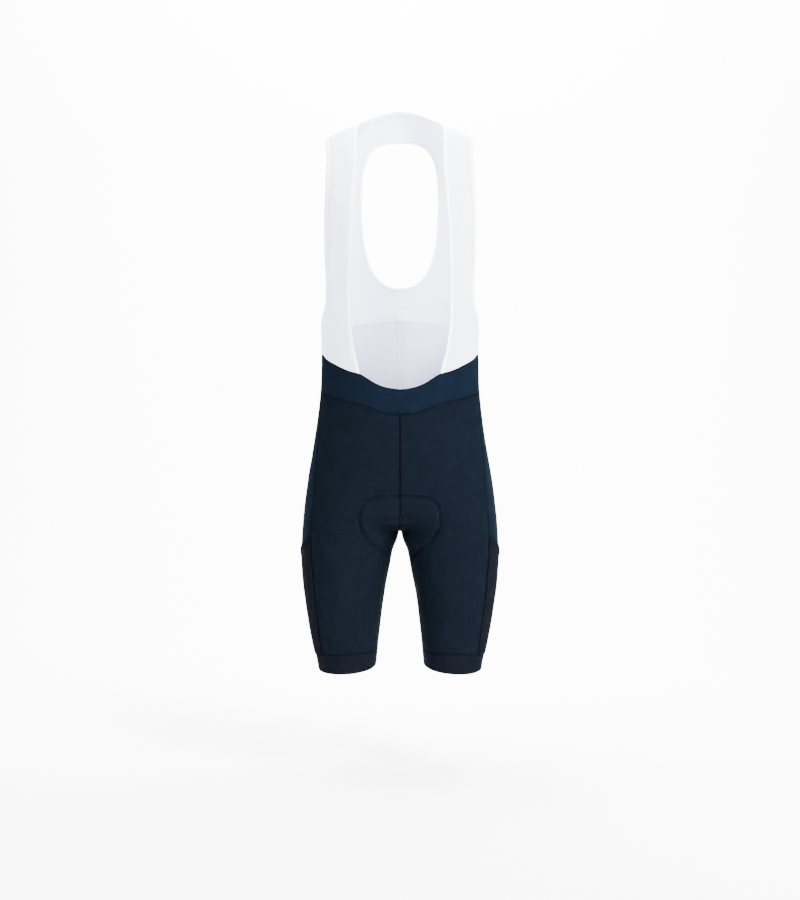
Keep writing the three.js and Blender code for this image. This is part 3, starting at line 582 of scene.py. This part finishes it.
# Folds and drags: a line in the front view, how wide and how high, trough or ridge.
folds = {
    "frontHeight": [
        (-100, -652, -66, -646, 9, -1.5), (-96, -664, -64, -660, 8, 1.3),
        (-104, -676, -58, -690, 10, -0.8), (98, -560, 118, -612, 15, 1.6),
        (112, -580, 132, -640, 12, -1.3), (78, -548, 92, -600, 16, 0.9),
        (60, -700, 120, -742, 20, -0.9), (-64, -712, -118, -752, 20, -0.8),
        (48, -668, 96, -690, 10, -0.9), (-118, -520, -92, -560, 16, 0.9),
        (-60, -486, -92, -520, 18, 0.7), (40, -500, 84, -530, 18, 0.6),
        (100, -742, 122, -800, 14, 0.8), (-98, -760, -116, -830, 14, 0.8),
        (62, -800, 110, -842, 14, -0.7), (-60, -812, -104, -848, 14, -0.7),
        (-86, -700, -100, -760, 14, 0.8), (96, -300, 112, -236, 9, 1.2),
        (-98, -318, -108, -250, 9, 1.2), (92, -352, 118, -330, 9, -1.1),
        (-92, -352, -118, -336, 9, -1.1), (100, -60, 88, -120, 12, -0.9),
        (-100, -60, -88, -120, 12, -0.9), (96, -170, 104, -220, 13, 0.8),
        (-94, -180, -104, -226, 13, 0.8),
    ],
    "backHeight": [
        (0, -560, 0, -640, 18, -1.2), (-30, -604, -96, -652, 18, -1.0),
        (30, -604, 96, -652, 18, -1.1), (-44, -668, -112, -700, 15, 0.9),
        (44, -668, 112, -704, 15, 0.9), (-60, -470, -104, -500, 18, 0.9),
        (60, -470, 104, -500, 18, 0.9), (-52, -716, -110, -748, 17, -0.8),
        (52, -712, 110, -744, 17, -0.8), (-60, -768, -108, -800, 15, 0.8),
        (60, -768, 108, -800, 15, 0.8), (-48, -842, -104, -850, 12, -0.6),
        (48, -842, 104, -850, 12, -0.6), (-70, -290, -104, -268, 10, -0.9),
        (70, -290, 104, -268, 10, -0.9),
    ],
    "turn": 9,  # mm of depth over which the front's folds give way to the back's
    "wander": 0.25, "end": 1.4,  # how far a fold strays and runs out, in its own widths
    "swell": 0.3,  # how uneven a fold's height is
    "ripple": 0.35,  # height of the shallow waves all over
}


def foldRelief(p):
    s = readSection(p[..., 2])
    toFront = 1 / (1 + np.exp((p[..., 1] - s["centreY"]) / folds["turn"]))
    total = np.zeros(p.shape[:-1])
    for facing, lines in ((toFront, folds["frontHeight"]), (1 - toFront, folds["backHeight"])):
        for x1, z1, x2, z2, width, height in lines:
            dx, dz = x2 - x1, z2 - z1
            along = ((p[..., 0] - x1) * dx + (p[..., 2] - z1) * dz) / (dx * dx + dz * dz)
            t = np.clip(along, 0, 1)
            wander = folds["wander"] * width * np.sin(5 * t + x1)
            sideways = ((p[..., 0] - x1) * dz - (p[..., 2] - z1) * dx) / math.hypot(dx, dz) + wander
            beyond = (along - t) * math.hypot(dx, dz)
            near = np.exp(-((sideways / width) ** 2) - (beyond / (folds["end"] * width)) ** 2)
            swell = 1 + folds["swell"] * np.sin(9 * t + z1) * np.sin(math.pi * t)
            total = total + facing * height * near * swell
    x, y, z = p[..., 0], p[..., 1], p[..., 2]
    ripple = (  # the waves' lengths are in mm
        np.sin(x / 17 + 1.7 * np.sin(z / 41)) * np.sin(z / 23 + 0.8 * np.sin(y / 29) + 1.1)
        + 0.6 * np.sin((x + y) / 11 + z / 31) * np.sin(z / 13 - x / 37)
    )
    return total + folds["ripple"] * ripple


# The pad under the front: its stitched outline as seen from the front, and how far it stands out.
# The lip over its top edge and the hollow below that: half width, height and half depth.
padMark = {
    "outline": [
        (0, -604.5), (18, -604.3), (33, -605), (46, -608), (55.5, -613.5), (62.5, -624),
        (65.3, -638), (63.5, -652), (58.5, -664), (49, -676), (38, -686), (27, -696), (21, -702),
    ],
    "groove": 1.6,
    "grooveWidth": 2.4,
    "bulge": 3.4,
    "bulgeWithin": 7,
    "lip": 5.5,
    "lipAt": (38, -632, 11),
    "hollowAt": (36, -652, 9),
    "fadeFrom": -700,
    "fadeOver": 26,
    "spread": 1.8,
    "reach": {"behind": 20, "top": -570, "bottom": -730, "side": 110},
}


def padOutline():
    x, z = np.array(padMark["outline"], float).T
    return finerLine(seenOn(x, z, False), 14)


padLine = padOutline()


def barOver(points, halfWidth, z, halfDepth):  # a soft bar across the middle
    acrossIt = np.exp(-((points[:, 0] / halfWidth) ** 4))
    return acrossIt * np.exp(-(((points[:, 1] - z) / halfDepth) ** 2))


def padRelief(p):  # groove along the outline, and the padding standing out inside it
    q = np.abs(p) * np.array([1, 0, 0]) + p * np.array([0, 1, 1])
    flat = q[..., [0, 2]].reshape(-1, 2)
    line = padLine[:, [0, 2]]
    height = np.zeros(len(flat))
    reach = padMark["reach"]
    front = (q[..., 1].reshape(-1) < reach["behind"]) & (flat[:, 0] < reach["side"])
    front = front & (flat[:, 1] < reach["top"]) & (flat[:, 1] > reach["bottom"])
    if not front.any():
        return np.zeros(p.shape[:-1])
    chosen = flat[front]
    gap = np.full(len(chosen), 1e9)
    for k in range(len(line)):
        gap = np.minimum(gap, np.hypot(chosen[:, 0] - line[k, 0], chosen[:, 1] - line[k, 1]))
    widest = int(np.argmax(line[:, 0]))
    upper, lower = line[: widest + 1], line[widest:]
    edgeX = np.where(
        chosen[:, 1] > line[widest, 1],
        np.interp(chosen[:, 1], upper[::-1, 1], upper[::-1, 0]),
        np.interp(chosen[:, 1], lower[::-1, 1], lower[::-1, 0]),
    )
    within = (chosen[:, 0] < edgeX) & (chosen[:, 1] < line[0, 1])
    inside = np.where(within, gap, 0)
    fade = np.clip((chosen[:, 1] - padMark["fadeFrom"]) / padMark["fadeOver"], 0, 1)
    fade = fade * fade * (3 - 2 * fade)
    rise = padMark["bulge"] * (1 - np.exp(-inside / padMark["bulgeWithin"])) * fade
    bars = barOver(chosen, *padMark["lipAt"]) - barOver(chosen, *padMark["hollowAt"])
    lip = padMark["lip"] * np.where(within, bars, 0)
    groove = -padMark["groove"] * np.exp(-((gap / padMark["grooveWidth"]) ** 2))
    height[front] = rise + lip + groove
    return height.reshape(p.shape[:-1])


def cellLengths(patch, axis):  # how far each point is from the patch's first row or column
    cells = np.linalg.norm(np.diff(patch, axis=axis), axis=-1)
    zero = np.zeros_like(np.take(cells, [0], axis=axis))
    return np.concatenate([zero, np.cumsum(cells, axis=axis)], axis=axis)


seam = {"depth": 0.5, "width": 1.7}  # how far the cloth sinks at its sewn edges


def seamRelief(patch, sewn):
    down, across = cellLengths(patch, 0), cellLengths(patch, 1)
    gaps = {"top": down, "bottom": down[-1:] - down}
    gaps.update(first=across, last=across[:, -1:] - across)
    total = np.zeros(patch.shape[:-1])
    for edge in sewn:
        total = total - seam["depth"] * np.exp(-((gaps[edge] / seam["width"]) ** 2))
    return total


def gridMesh(name, patch, uv):  # a grid moved onto the patch's points, its cloth lengths as UVs
    rows, columns = patch.shape[:2]
    bm = bmesh.new()
    bmesh.ops.create_grid(bm, x_segments=columns - 1, y_segments=rows - 1, size=0.5)
    mesh = bpy.data.meshes.new(name)
    bm.to_mesh(mesh)
    bm.free()
    flat = np.empty(len(mesh.vertices) * 3)
    mesh.vertices.foreach_get("co", flat)
    flat = flat.reshape(-1, 3)
    column = np.rint((flat[:, 0] + 0.5) * (columns - 1)).astype(int)
    row = np.rint((flat[:, 1] + 0.5) * (rows - 1)).astype(int)
    mesh.vertices.foreach_set("co", (patch[row, column] * metre).ravel())
    corner = np.empty(len(mesh.loops), int)
    mesh.loops.foreach_get("vertex_index", corner)
    mesh.uv_layers.new(name="cloth").data.foreach_set("uv", uv[row, column][corner].ravel())
    mesh.update()
    return mesh


def objectOf(name, bm, material):  # a smooth object of the mesh, which is freed
    for face in bm.faces:
        face.smooth = True
    mesh = bpy.data.meshes.new(name)
    bm.to_mesh(mesh)
    bm.free()
    mesh.materials.append(material)
    made = bpy.data.objects.new(name, mesh)
    bpy.context.scene.collection.objects.link(made)
    return made


def shellOf(name, parts, material, thickness, nodes):
    bm = bmesh.new()
    for mesh in parts:
        bm.from_mesh(mesh)
    bmesh.ops.remove_doubles(bm, verts=bm.verts, dist=0.00005)
    bm.faces.ensure_lookup_table()
    sample = bm.faces[len(bm.faces) // 3]
    centre = np.array(sample.calc_center_median()) / metre
    if np.dot(np.array(sample.normal), outwardOf(centre)) < 0:
        bmesh.ops.reverse_faces(bm, faces=bm.faces)
    piece = objectOf(name, bm, material)
    shell = piece.modifiers.new("cloth thickness", "SOLIDIFY")
    shell.thickness = thickness * metre
    shell.offset = -1
    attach(piece, "root")
    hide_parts(*nodes)
    return piece


def areaOf(patch):
    a = patch[1:, 1:] - patch[:-1, :-1]
    b = patch[1:, :-1] - patch[:-1, 1:]
    return float(np.sum(np.linalg.norm(np.cross(a, b), axis=-1)) / 2)


def clothPiece(name, patches, cloth, slot, nodes, sewn, thickness, relief, lift=0.0, flip=False,
               trim=False, sewnOn=(), cutFrom=None):
    parts, area, width, length = [], 0.0, 0.0, 0.0
    for k, patch in enumerate(patches):
        if flip:
            patch = mirrored(patch)
        height = seamRelief(patch, sewn[k]) + lift
        for extra in relief:
            height = height + extra(patch)
        down, across = cellLengths(patch, 0), cellLengths(patch, 1)
        uv = np.stack([across - across[:, -1:] / 2, down], axis=-1) * metre
        laid = patch + outwardOf(patch) * height[..., None]
        parts.append(gridMesh(f"{name}_part", laid, uv))
        area += areaOf(laid) * metre**2
        width = max(width, float(across[:, -1].max()) * metre)
        length += float(down[-1].mean()) * metre
    piece = shellOf(name, parts, cloths[cloth], thickness, nodes)
    longest = max(length, area / width)
    if cutFrom:  # a piece with holes is cut from a larger sheet
        width, longest = (side * metre for side in cutFrom)
    print(f"{name}: {width * 1000:.0f} x {longest * 1000:.0f} mm, {area * 1e4:.0f} square cm")
    return piece


# Sewing: short rounded stitches in rows beside a line on the form. Their size is half of each length.
sewing = {
    "spacing": 2.6, "size": (1.1, 0.45, 0.3), "spread": 1.6, "lift": 0.15, "tapeInset": 1.0,
    "divider": 4.5, "centre": 0.9, "mouth": (8, 104), "inside": -1.3, "outside": 1.45,
}


def stitchRows(name, lines, thread, lift=sewing["lift"]):
    bm = bmesh.new()
    for line in lines:
        fine = evenSteps(line, max(int(lengthsOf(line)[-1] / sewing["spacing"]), 2))
        normal = outwardOf(fine)
        height = lift + foldRelief(fine) + padRelief(fine)
        placed = fine + normal * height[:, None]
        along = unitOf(np.gradient(placed, axis=0))
        for p, t, n in zip(placed[:-1], along, normal):
            side = np.cross(n, t)
            turn = Matrix([[t[k], side[k], n[k], p[k] * metre] for k in range(3)] + [[0, 0, 0, 1]])
            shape = Matrix.Diagonal(Vector([v * metre for v in sewing["size"]] + [1]))
            bmesh.ops.create_icosphere(bm, subdivisions=1, radius=1, matrix=turn @ shape)
    rows = objectOf(name, bm, cloths[thread])
    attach(rows, "root")


def pair(line, spread=sewing["spread"]):  # two lines, one each side of a line on the form
    return [besideLine(line, -spread), besideLine(line, spread)]


# Materials. Knits are drawn in the cloth's own lengths, in metres.
def linear(r, g, b):
    shares = [((v / 255 + 0.055) / 1.055) ** 2.4 if v > 10 else v / 255 / 12.92 for v in (r, g, b)]
    return [*shares, 1]


plainLook = {  # what a look doesn't say
    "specular": 0.3, "sheenRoughness": 0.5, "sheenTint": [1, 1, 1, 1], "waver": 0.6,
    "cloudScale": 45, "cloudDetail": 6, "yarn": 0.5, "bump": 0.5, "open": 0,
}


def knit(name, ownLook):
    look = {**plainLook, **ownLook}
    material = bpy.data.materials.new(name)
    material.use_nodes = True
    nodes, links = material.node_tree.nodes, material.node_tree.links
    shader, output = nodes["Principled BSDF"], nodes["Material Output"]
    shader.inputs["Roughness"].default_value = look["roughness"]
    shader.inputs["Specular IOR Level"].default_value = look["specular"]
    shader.inputs["Sheen Weight"].default_value = look["sheen"]
    shader.inputs["Sheen Roughness"].default_value = look["sheenRoughness"]
    shader.inputs["Sheen Tint"].default_value = look["sheenTint"]

    place = nodes.new("ShaderNodeUVMap")
    place.uv_map = "cloth"
    waves = []
    for direction, period in (("X", look["wale"]), ("Y", look["course"])):
        wave = nodes.new("ShaderNodeTexWave")
        wave.bands_direction = direction
        wave.inputs["Scale"].default_value = math.pi / 10 / period  # one band to each period
        wave.inputs["Distortion"].default_value = look["waver"]
        wave.inputs["Detail"].default_value = 0
        links.new(place.outputs["UV"], wave.inputs["Vector"])
        waves.append(wave)
    loops = nodes.new("ShaderNodeMath")
    loops.operation = "MULTIPLY"
    links.new(waves[0].outputs["Fac"], loops.inputs[0])
    links.new(waves[1].outputs["Fac"], loops.inputs[1])

    solid = nodes.new("ShaderNodeTexCoord")
    cloud = nodes.new("ShaderNodeTexNoise")
    cloud.inputs["Scale"].default_value = look["cloudScale"]
    cloud.inputs["Detail"].default_value = look["cloudDetail"]
    links.new(solid.outputs["Object"], cloud.inputs["Vector"])
    tone = nodes.new("ShaderNodeMix")
    tone.data_type = "RGBA"
    tone.inputs["A"].default_value = linear(*look["colour"])
    tone.inputs["B"].default_value = linear(*look["shade"])
    blend = nodes.new("ShaderNodeMath")
    blend.operation = "MULTIPLY_ADD"
    blend.inputs[1].default_value = -look["yarn"]
    links.new(loops.outputs[0], blend.inputs[0])
    links.new(cloud.outputs["Fac"], blend.inputs[2])
    links.new(blend.outputs[0], tone.inputs["Factor"])
    links.new(tone.outputs["Result"], shader.inputs["Base Color"])

    bump = nodes.new("ShaderNodeBump")
    bump.inputs["Strength"].default_value = look["bump"]
    bump.inputs["Distance"].default_value = look["relief"]
    links.new(loops.outputs[0], bump.inputs["Height"])
    links.new(bump.outputs["Normal"], shader.inputs["Normal"])

    if look["open"]:  # holes between the loops, and cloth that lets light through
        holes = nodes.new("ShaderNodeMath")
        holes.operation = "GREATER_THAN"
        holes.inputs[1].default_value = look["holes"]
        links.new(loops.outputs[0], holes.inputs[0])
        share = nodes.new("ShaderNodeMath")
        share.operation = "MULTIPLY"
        share.inputs[1].default_value = look["open"]
        links.new(holes.outputs[0], share.inputs[0])
        through = nodes.new("ShaderNodeBsdfTransparent")
        glow = nodes.new("ShaderNodeBsdfTranslucent")
        glow.inputs["Color"].default_value = linear(*look["colour"])
        soft, sheer = nodes.new("ShaderNodeMixShader"), nodes.new("ShaderNodeMixShader")
        soft.inputs["Fac"].default_value = look["glow"]
        links.new(shader.outputs[0], soft.inputs[1])
        links.new(glow.outputs[0], soft.inputs[2])
        links.new(share.outputs[0], sheer.inputs["Fac"])
        links.new(soft.outputs[0], sheer.inputs[1])
        links.new(through.outputs[0], sheer.inputs[2])
        links.new(sheer.outputs[0], output.inputs["Surface"])
    return material


threadWeave = {"wale": 0.0004, "course": 0.0004, "relief": 0.00003}
looks = {
    "shorts": {
        "colour": (7, 13, 22), "shade": (5, 9, 16), "roughness": 0.7, "specular": 0.001,
        "sheen": 0.001, "sheenTint": [0.45, 0.6, 0.85, 1], "wale": 0.0007, "course": 0.0009,
        "relief": 0.0001,
    },
    "thigh": {
        "colour": (7, 11, 17.5), "shade": (4.5, 7.5, 12), "roughness": 0.7, "specular": 0.001,
        "sheen": 0.001, "sheenTint": [0.45, 0.6, 0.8, 1], "wale": 0.0007, "course": 0.0009,
        "relief": 0.0001,
    },
    "pocket": {
        "colour": (8, 9, 14.5), "shade": (5.5, 6.5, 10), "roughness": 0.8, "specular": 0.001,
        "sheen": 0.001, "sheenTint": [0.8, 0.75, 0.95, 1], "wale": 0.0014, "course": 0.0014,
        "relief": 0.00018,
    },
    "band": {
        "colour": (8, 10.5, 16), "shade": (5.5, 7, 11), "roughness": 0.7, "specular": 0.001,
        "sheen": 0.001, "sheenTint": [0.6, 0.65, 0.8, 1], "wale": 0.0016, "course": 0.0006,
        "relief": 0.00015,
    },
    "mesh": {
        "colour": (234, 235, 250), "shade": (222, 223, 241), "roughness": 0.7, "sheen": 0.1,
        "wale": 0.0011, "course": 0.0013, "relief": 0.00022, "open": 0.75, "holes": 0.62,
        "glow": 0.25, "yarn": 0.3,
    },
    "tape": {
        "colour": (246, 245, 252), "shade": (232, 231, 242), "roughness": 0.55, "sheen": 0.1,
        "wale": 0.0009, "course": 0.0018, "relief": 0.0002,
    },
    "pad": {
        "colour": (12, 14, 18), "shade": (8, 9, 12), "roughness": 0.9, "specular": 0.004,
        "sheen": 0.02, "wale": 0.002, "course": 0.002, "relief": 0.0003,
    },
    "padThread": {
        "colour": (4, 3, 9), "shade": (3, 2, 7), "roughness": 0.8, "specular": 0.001,
        "sheen": 0.0, **threadWeave,
    },
    "greyThread": {
        "colour": (150, 153, 188), "shade": (136, 139, 172), "roughness": 0.7, "sheen": 0.0,
        **threadWeave,
    },
    "thread": {
        "colour": (6.5, 9, 16), "shade": (5, 7, 12), "roughness": 0.8, "specular": 0.001,
        "sheen": 0.0, **threadWeave,
    },
    "whiteThread": {
        "colour": (240, 239, 248), "shade": (220, 219, 232), "roughness": 0.6, "sheen": 0.1,
        **threadWeave,
    },
}
cloths = {name: knit(name, look) for name, look in looks.items()}
print("materials ready")

# Shorts
grain = {"down": 9, "across": 8, "side": 10, "band": 8, "yoke": 7, "pocket": 8, "mouth": 5}
shortsCloth = {"thickness": 1.2, "relief": (foldRelief, padRelief)}
frontLeg = finer(frontRows, grain["down"], grain["across"])
backLeg = finer(backRows, grain["down"], grain["across"])
sidePanel = finer(sideRows, grain["down"], grain["side"])
legBand = finer(bandRows(), grain["band"], grain["across"], closed=True)
yoke = finer(bothSides(yokeHalf), grain["yoke"], grain["across"])
pocketFit = {"hemHeight": 8, "stand": 0.9}
mouthHem, pocketCloth = thighPocketRows(pocketFit["hemHeight"])
mouthHem = finer(mouthHem, grain["mouth"], grain["side"])
pocketCloth = finer(pocketCloth, grain["pocket"], grain["side"])
onTop = cut["layerGap"] + shortsCloth["thickness"]
for side, flip in (("left", False), ("right", True)):
    clothPiece(f"frontLeg_{side}", [frontLeg], "thigh", "thigh_knit", [f"front_leg_{side}"],
               [("top", "bottom", "first", "last")], flip=flip, **shortsCloth)
    clothPiece(f"backLeg_{side}", [backLeg], "thigh", "thigh_knit", [f"back_leg_{side}"],
               [("top", "bottom", "first", "last")], flip=flip, **shortsCloth)
    clothPiece(f"sidePanel_{side}", [sidePanel], "shorts", "shorts_knit", [f"side_panel_{side}"],
               [("top", "bottom", "first", "last")], flip=flip, **shortsCloth)
    clothPiece(f"legBand_{side}", [legBand], "band", "grip_knit", [f"leg_band_{side}"],
               [("top",)], flip=flip, **shortsCloth)
    hem = clothPiece(f"pocketHem_{side}", [mouthHem], "pocket", "pocket_knit",
                     [f"thigh_pocket_hem_{side}"], [("bottom", "first", "last")],
                     lift=onTop + pocketFit["stand"], flip=flip, trim=True, **shortsCloth)
    clothPiece(f"thighPocket_{side}", [pocketCloth], "pocket", "pocket_knit",
               [f"thigh_pocket_{side}"], [("first", "last", "bottom")], lift=onTop, flip=flip,
               sewnOn=[hem], **shortsCloth)
clothPiece("waistYoke", [yoke], "shorts", "shorts_knit", ["front_yoke"], [("top", "bottom")],
           **shortsCloth)
print("shorts made")

# Bib
meshCloth = {"thickness": 1.0, "relief": (foldRelief,)}
tapeCloth = {"thickness": 1.6, "relief": (foldRelief,), "lift": 0.3}
bibGrain = {"down": 8, "across": 8, "ring": 9, "lower": 9, "tape": 6, "tapeWidth": 5, "ovalHem": 4}
backSheet = {"beside": 45, "bottom": -426, "top": 24}  # the line that gives the back's length
strap = finer(bibFront, bibGrain["down"], bibGrain["across"])
ring = finer(upperBack, bibGrain["ring"], bibGrain["across"], closed=True)
lower = finer(lowerBack, bibGrain["lower"], bibGrain["across"])
armTape, neckTape, ovalTape = (
    finer(np.stack(edges), bibGrain[width], bibGrain["tape"], closed)
    for edges, width, closed in (
        ((armLine, armTapeLine), "tapeWidth", True),
        ((neckLine, neckTapeLine), "tapeWidth", False),
        ((ovalEdge, ovalTapeLine), "ovalHem", True),
    )
)
edging = [
    clothPiece(f"{name}Tape", [patch], "tape", "elastic_tape", [f"{name}_tape"], [("bottom",)],
               trim=True, **tapeCloth)
    for name, patch in (("neck", neckTape), ("oval", ovalTape))
]
backZ = np.linspace(backSheet["bottom"], backSheet["top"], 80)
upTheBack = seenOn(backSheet["beside"], backZ, True)
backCut = (float(cellLengths(lower, 1)[:, -1].min()), float(lengthsOf(upTheBack)[-1]))
clothPiece("bibBack", [lower, ring], "mesh", "mesh_knit", ["bib_back"],
           [("bottom", "first", "last"), ()], sewnOn=edging, cutFrom=backCut, **meshCloth)
for side, flip in (("left", False), ("right", True)):
    armEdging = clothPiece(f"armholeTape_{side}", [armTape], "tape", "elastic_tape",
                           [f"armhole_tape_{side}"], [("bottom",)], flip=flip, trim=True,
                           **tapeCloth)
    clothPiece(f"bibFront_{side}", [strap], "mesh", "mesh_knit", [f"bib_front_{side}"],
               [("top", "bottom", "last")], flip=flip, sewnOn=[armEdging], **meshCloth)

middle = (lowerBack.shape[1] - 1) // 2
reach = slice(middle - steps["pocketColumns"], middle + steps["pocketColumns"] + 1)
rearPocket = finer(lowerBack[:, reach], bibGrain["lower"], bibGrain["across"])
clothPiece("rearPocket", [rearPocket], "mesh", "mesh_knit", ["rear_pocket"],
           [("bottom", "first", "last")], lift=cut["layerGap"] + meshCloth["thickness"],
           **meshCloth)

# A half moon inside the back, over the middle of the pockets' mouths, its round side down.
tabShape = {"halfWidth": 10, "top": -295, "bottom": -313, "thickness": 1.0, "behind": 0.5}
share = np.linspace(0, 0.985, 12)[:, None]
half = tabShape["halfWidth"] * np.sqrt(1 - share**2)
tab = seenOn(half * np.linspace(-1, 1, 17), mix(tabShape["top"], tabShape["bottom"], share), True)
clothPiece("pocketTab", [tab], "tape", "elastic_tape", ["pocket_tab"], [()],
           thickness=tabShape["thickness"], lift=-meshCloth["thickness"] - tabShape["behind"],
           relief=(foldRelief,))
print("bib made")

# Seat pad
padFit = {"behindCloth": 4.6, "edge": 2.0, "fill": 0.6}


def padPatch():  # the pad's outer face, and how thick it is at each point
    t = np.linspace(0, 1, 61)
    frontZ = mix(cut["padLine"][0], cut["crotch"], np.sin(t * math.pi / 2))
    backZ = mix(cut["crotch"], cut["padLine"][1], 1 - np.cos(t[1:] * math.pi / 2))
    under = np.concatenate([
        aroundForm(frontZ, middleAngle(frontZ, False)), aroundForm(backZ, middleAngle(backZ, True)),
    ])
    under[:, 0] = 0
    line = evenSteps(under, steps["padLength"] * 4)
    pad = readPad(np.linspace(0, 1, len(line)))
    columns = steps["padWidth"] * 2
    half = np.swapaxes(walkOn(line, np.array([1.0, 0, 0]), pad["half"], columns), 0, 1)
    toEdge = np.linspace(-1, 1, 2 * columns + 1)[None, :] ** 2
    return bothSides(half), mix(pad["thick"][:, None], padFit["edge"], toEdge)


padOuter, padThick = padPatch()
padNormal = outwardOf(padOuter)
print("pad laid out")
padDown, padAcross = cellLengths(padOuter, 0), cellLengths(padOuter, 1)
padUv = np.stack([padAcross - padAcross[:, -1:] / 2, padDown], axis=-1) * metre
outerFace = padOuter - padNormal * padFit["behindCloth"]
innerFace = outerFace - padNormal * padThick[..., None]


def padPiece():
    bm = bmesh.new()
    for face in (outerFace, innerFace):
        bm.from_mesh(gridMesh("pad_face", face, padUv))
    rim = [edge for edge in bm.edges if edge.is_boundary]
    bmesh.ops.bridge_loops(bm, edges=rim)
    bmesh.ops.recalc_face_normals(bm, faces=bm.faces)
    pad = objectOf("seatPad", bm, cloths["pad"])
    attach(pad, "root")
    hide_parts("seat_pad")


padPiece()
print(f"seatPad: {padAcross[:, -1].max():.0f} x {padDown[-1].max():.0f} mm, "
      f"{padThick.min():.0f} to {padThick.max():.0f} mm thick")

# Sewing
def onBothSides(lines):  # lines on the +X side, and their mirror images
    return [*lines, *(mirrored(line) for line in lines)]


yokeTopLine, yokeSeamLine = (finerLine(bothSides(yokeHalf)[row], 8) for row in (0, -1))
frontSide, backSide = (finerLine(sideRows[:, column], 8) for column in (0, -1))
centreFront = finerLine(frontRows[np.abs(frontRows[:, 0, 0]) < 0.5, 0], 8)
mouthX = np.linspace(*sewing["mouth"], 60)
mouthLine = seenOn(mouthX, readRearMouth(mouthX)["z"], True)
dividerZ = np.linspace(tabShape["bottom"], cut["backRise"][0][1], 50)
dividers = [seenOn(side * sewing["divider"], dividerZ, True) for side in (-1, 1)]
yokeRows = [*pair(yokeSeamLine), besideLine(yokeTopLine, sewing["spread"])]
neckInset = besideLine(neckTapeLine, sewing["tapeInset"])
armInset = besideLine(armTapeLine, sewing["tapeInset"], closed=True)
ovalInset = besideLine(ovalTapeLine, sewing["tapeInset"], closed=True)
mouths = onBothSides([mouthLine])
stitchRows("yokeStitches", yokeRows, "thread")
stitchRows("frontSideStitches", onBothSides(pair(frontSide)), "thread")
stitchRows("backSideStitches", onBothSides(pair(backSide)), "thread")
stitchRows("hemStitches", onBothSides(pair(legBand[0])), "thread")
stitchRows("centreStitches", pair(centreFront, sewing["centre"]), "padThread")
stitchRows("padStitches", onBothSides(pair(padLine, padMark["spread"])), "padThread")
stitchRows("neckTapeStitches", [neckInset], "whiteThread")
stitchRows("armholeTapeStitches", onBothSides([armInset]), "whiteThread")
stitchRows("ovalTapeStitches", [ovalInset], "whiteThread")
stitchRows("rearMouthStitches", mouths, "greyThread", sewing["inside"])
stitchRows("dividerStitches", dividers, "greyThread", sewing["inside"])
stitchRows("rearPocketStitches", [*mouths, *dividers], "greyThread", sewing["outside"])
print("sewing made")

# Floor, light and camera, in metres. Each lamp has its place, its aim, its size and its power.
studio = {
    "floor": -1.05, "bendAt": 1.2, "bend": 1.5, "width": 7, "reach": 9.4, "front": -3.0,
    "paper": (252, 252, 252), "paperRoughness": 0.9, "sky": 1.3,
    "camera": (0, -2.9, -0.5297), "lens": 70.3,
}
lamps = {
    "key": ((1.6, -1.8, 1.45), (0, 0, -0.35), 1.2, 560),
    "fill": ((-1.8, -2.0, 1.2), (0, 0, -0.35), 1.8, 70),
    "top": ((0, 0, 2.6), (0, 0, -0.5), 3.0, 240),
    "behind": ((0, 1.0, 1.9), (0, 3.2, -0.2), 2.6, 720),
}


def sweepAt(run):  # height and depth along the paper, from the floor in front up the wall
    start, radius = studio["bendAt"], studio["bend"]
    turn = np.clip((run - start) / radius, 0, math.pi / 2)
    past = np.maximum(run - start - radius * math.pi / 2, 0)
    y = np.minimum(run, start) + radius * np.sin(turn)
    return y, studio["floor"] + radius * (1 - np.cos(turn)) + past


bm = bmesh.new()
bmesh.ops.create_grid(bm, x_segments=4, y_segments=120, size=0.5)
for vert in bm.verts:
    y, z = sweepAt((vert.co.y + 0.5) * studio["reach"] + studio["front"])
    vert.co = (vert.co.x * studio["width"], float(y), float(z))
paper = bpy.data.materials.new("paper")
paper.use_nodes = True
surface = paper.node_tree.nodes["Principled BSDF"]
surface.inputs["Base Color"].default_value = linear(*studio["paper"])
surface.inputs["Roughness"].default_value = studio["paperRoughness"]
objectOf("sweep", bm, paper)


def softLight(name, place, towards, size, power):
    light = bpy.data.lights.new(name, "AREA")
    light.shape, light.size, light.energy = "SQUARE", size, power
    lamp = bpy.data.objects.new(name, light)
    lamp.location = place
    lamp.rotation_euler = (Vector(towards) - Vector(place)).to_track_quat("-Z", "Y").to_euler()
    bpy.context.scene.collection.objects.link(lamp)


for name, lamp in lamps.items():
    softLight(name, *lamp)
world = bpy.data.worlds.new("studio")
world.use_nodes = True
sky = world.node_tree.nodes["Background"]
sky.inputs["Color"].default_value = (1, 1, 1, 1)
sky.inputs["Strength"].default_value = studio["sky"]
bpy.context.scene.world = world

view = bpy.data.cameras.new("view")
view.lens, view.sensor_width, view.sensor_fit = studio["lens"], 36, "AUTO"
camera = bpy.data.objects.new("view", view)
camera.location = studio["camera"]
camera.rotation_euler = (math.pi / 2, 0, 0)
bpy.context.scene.collection.objects.link(camera)
bpy.context.scene.camera = camera
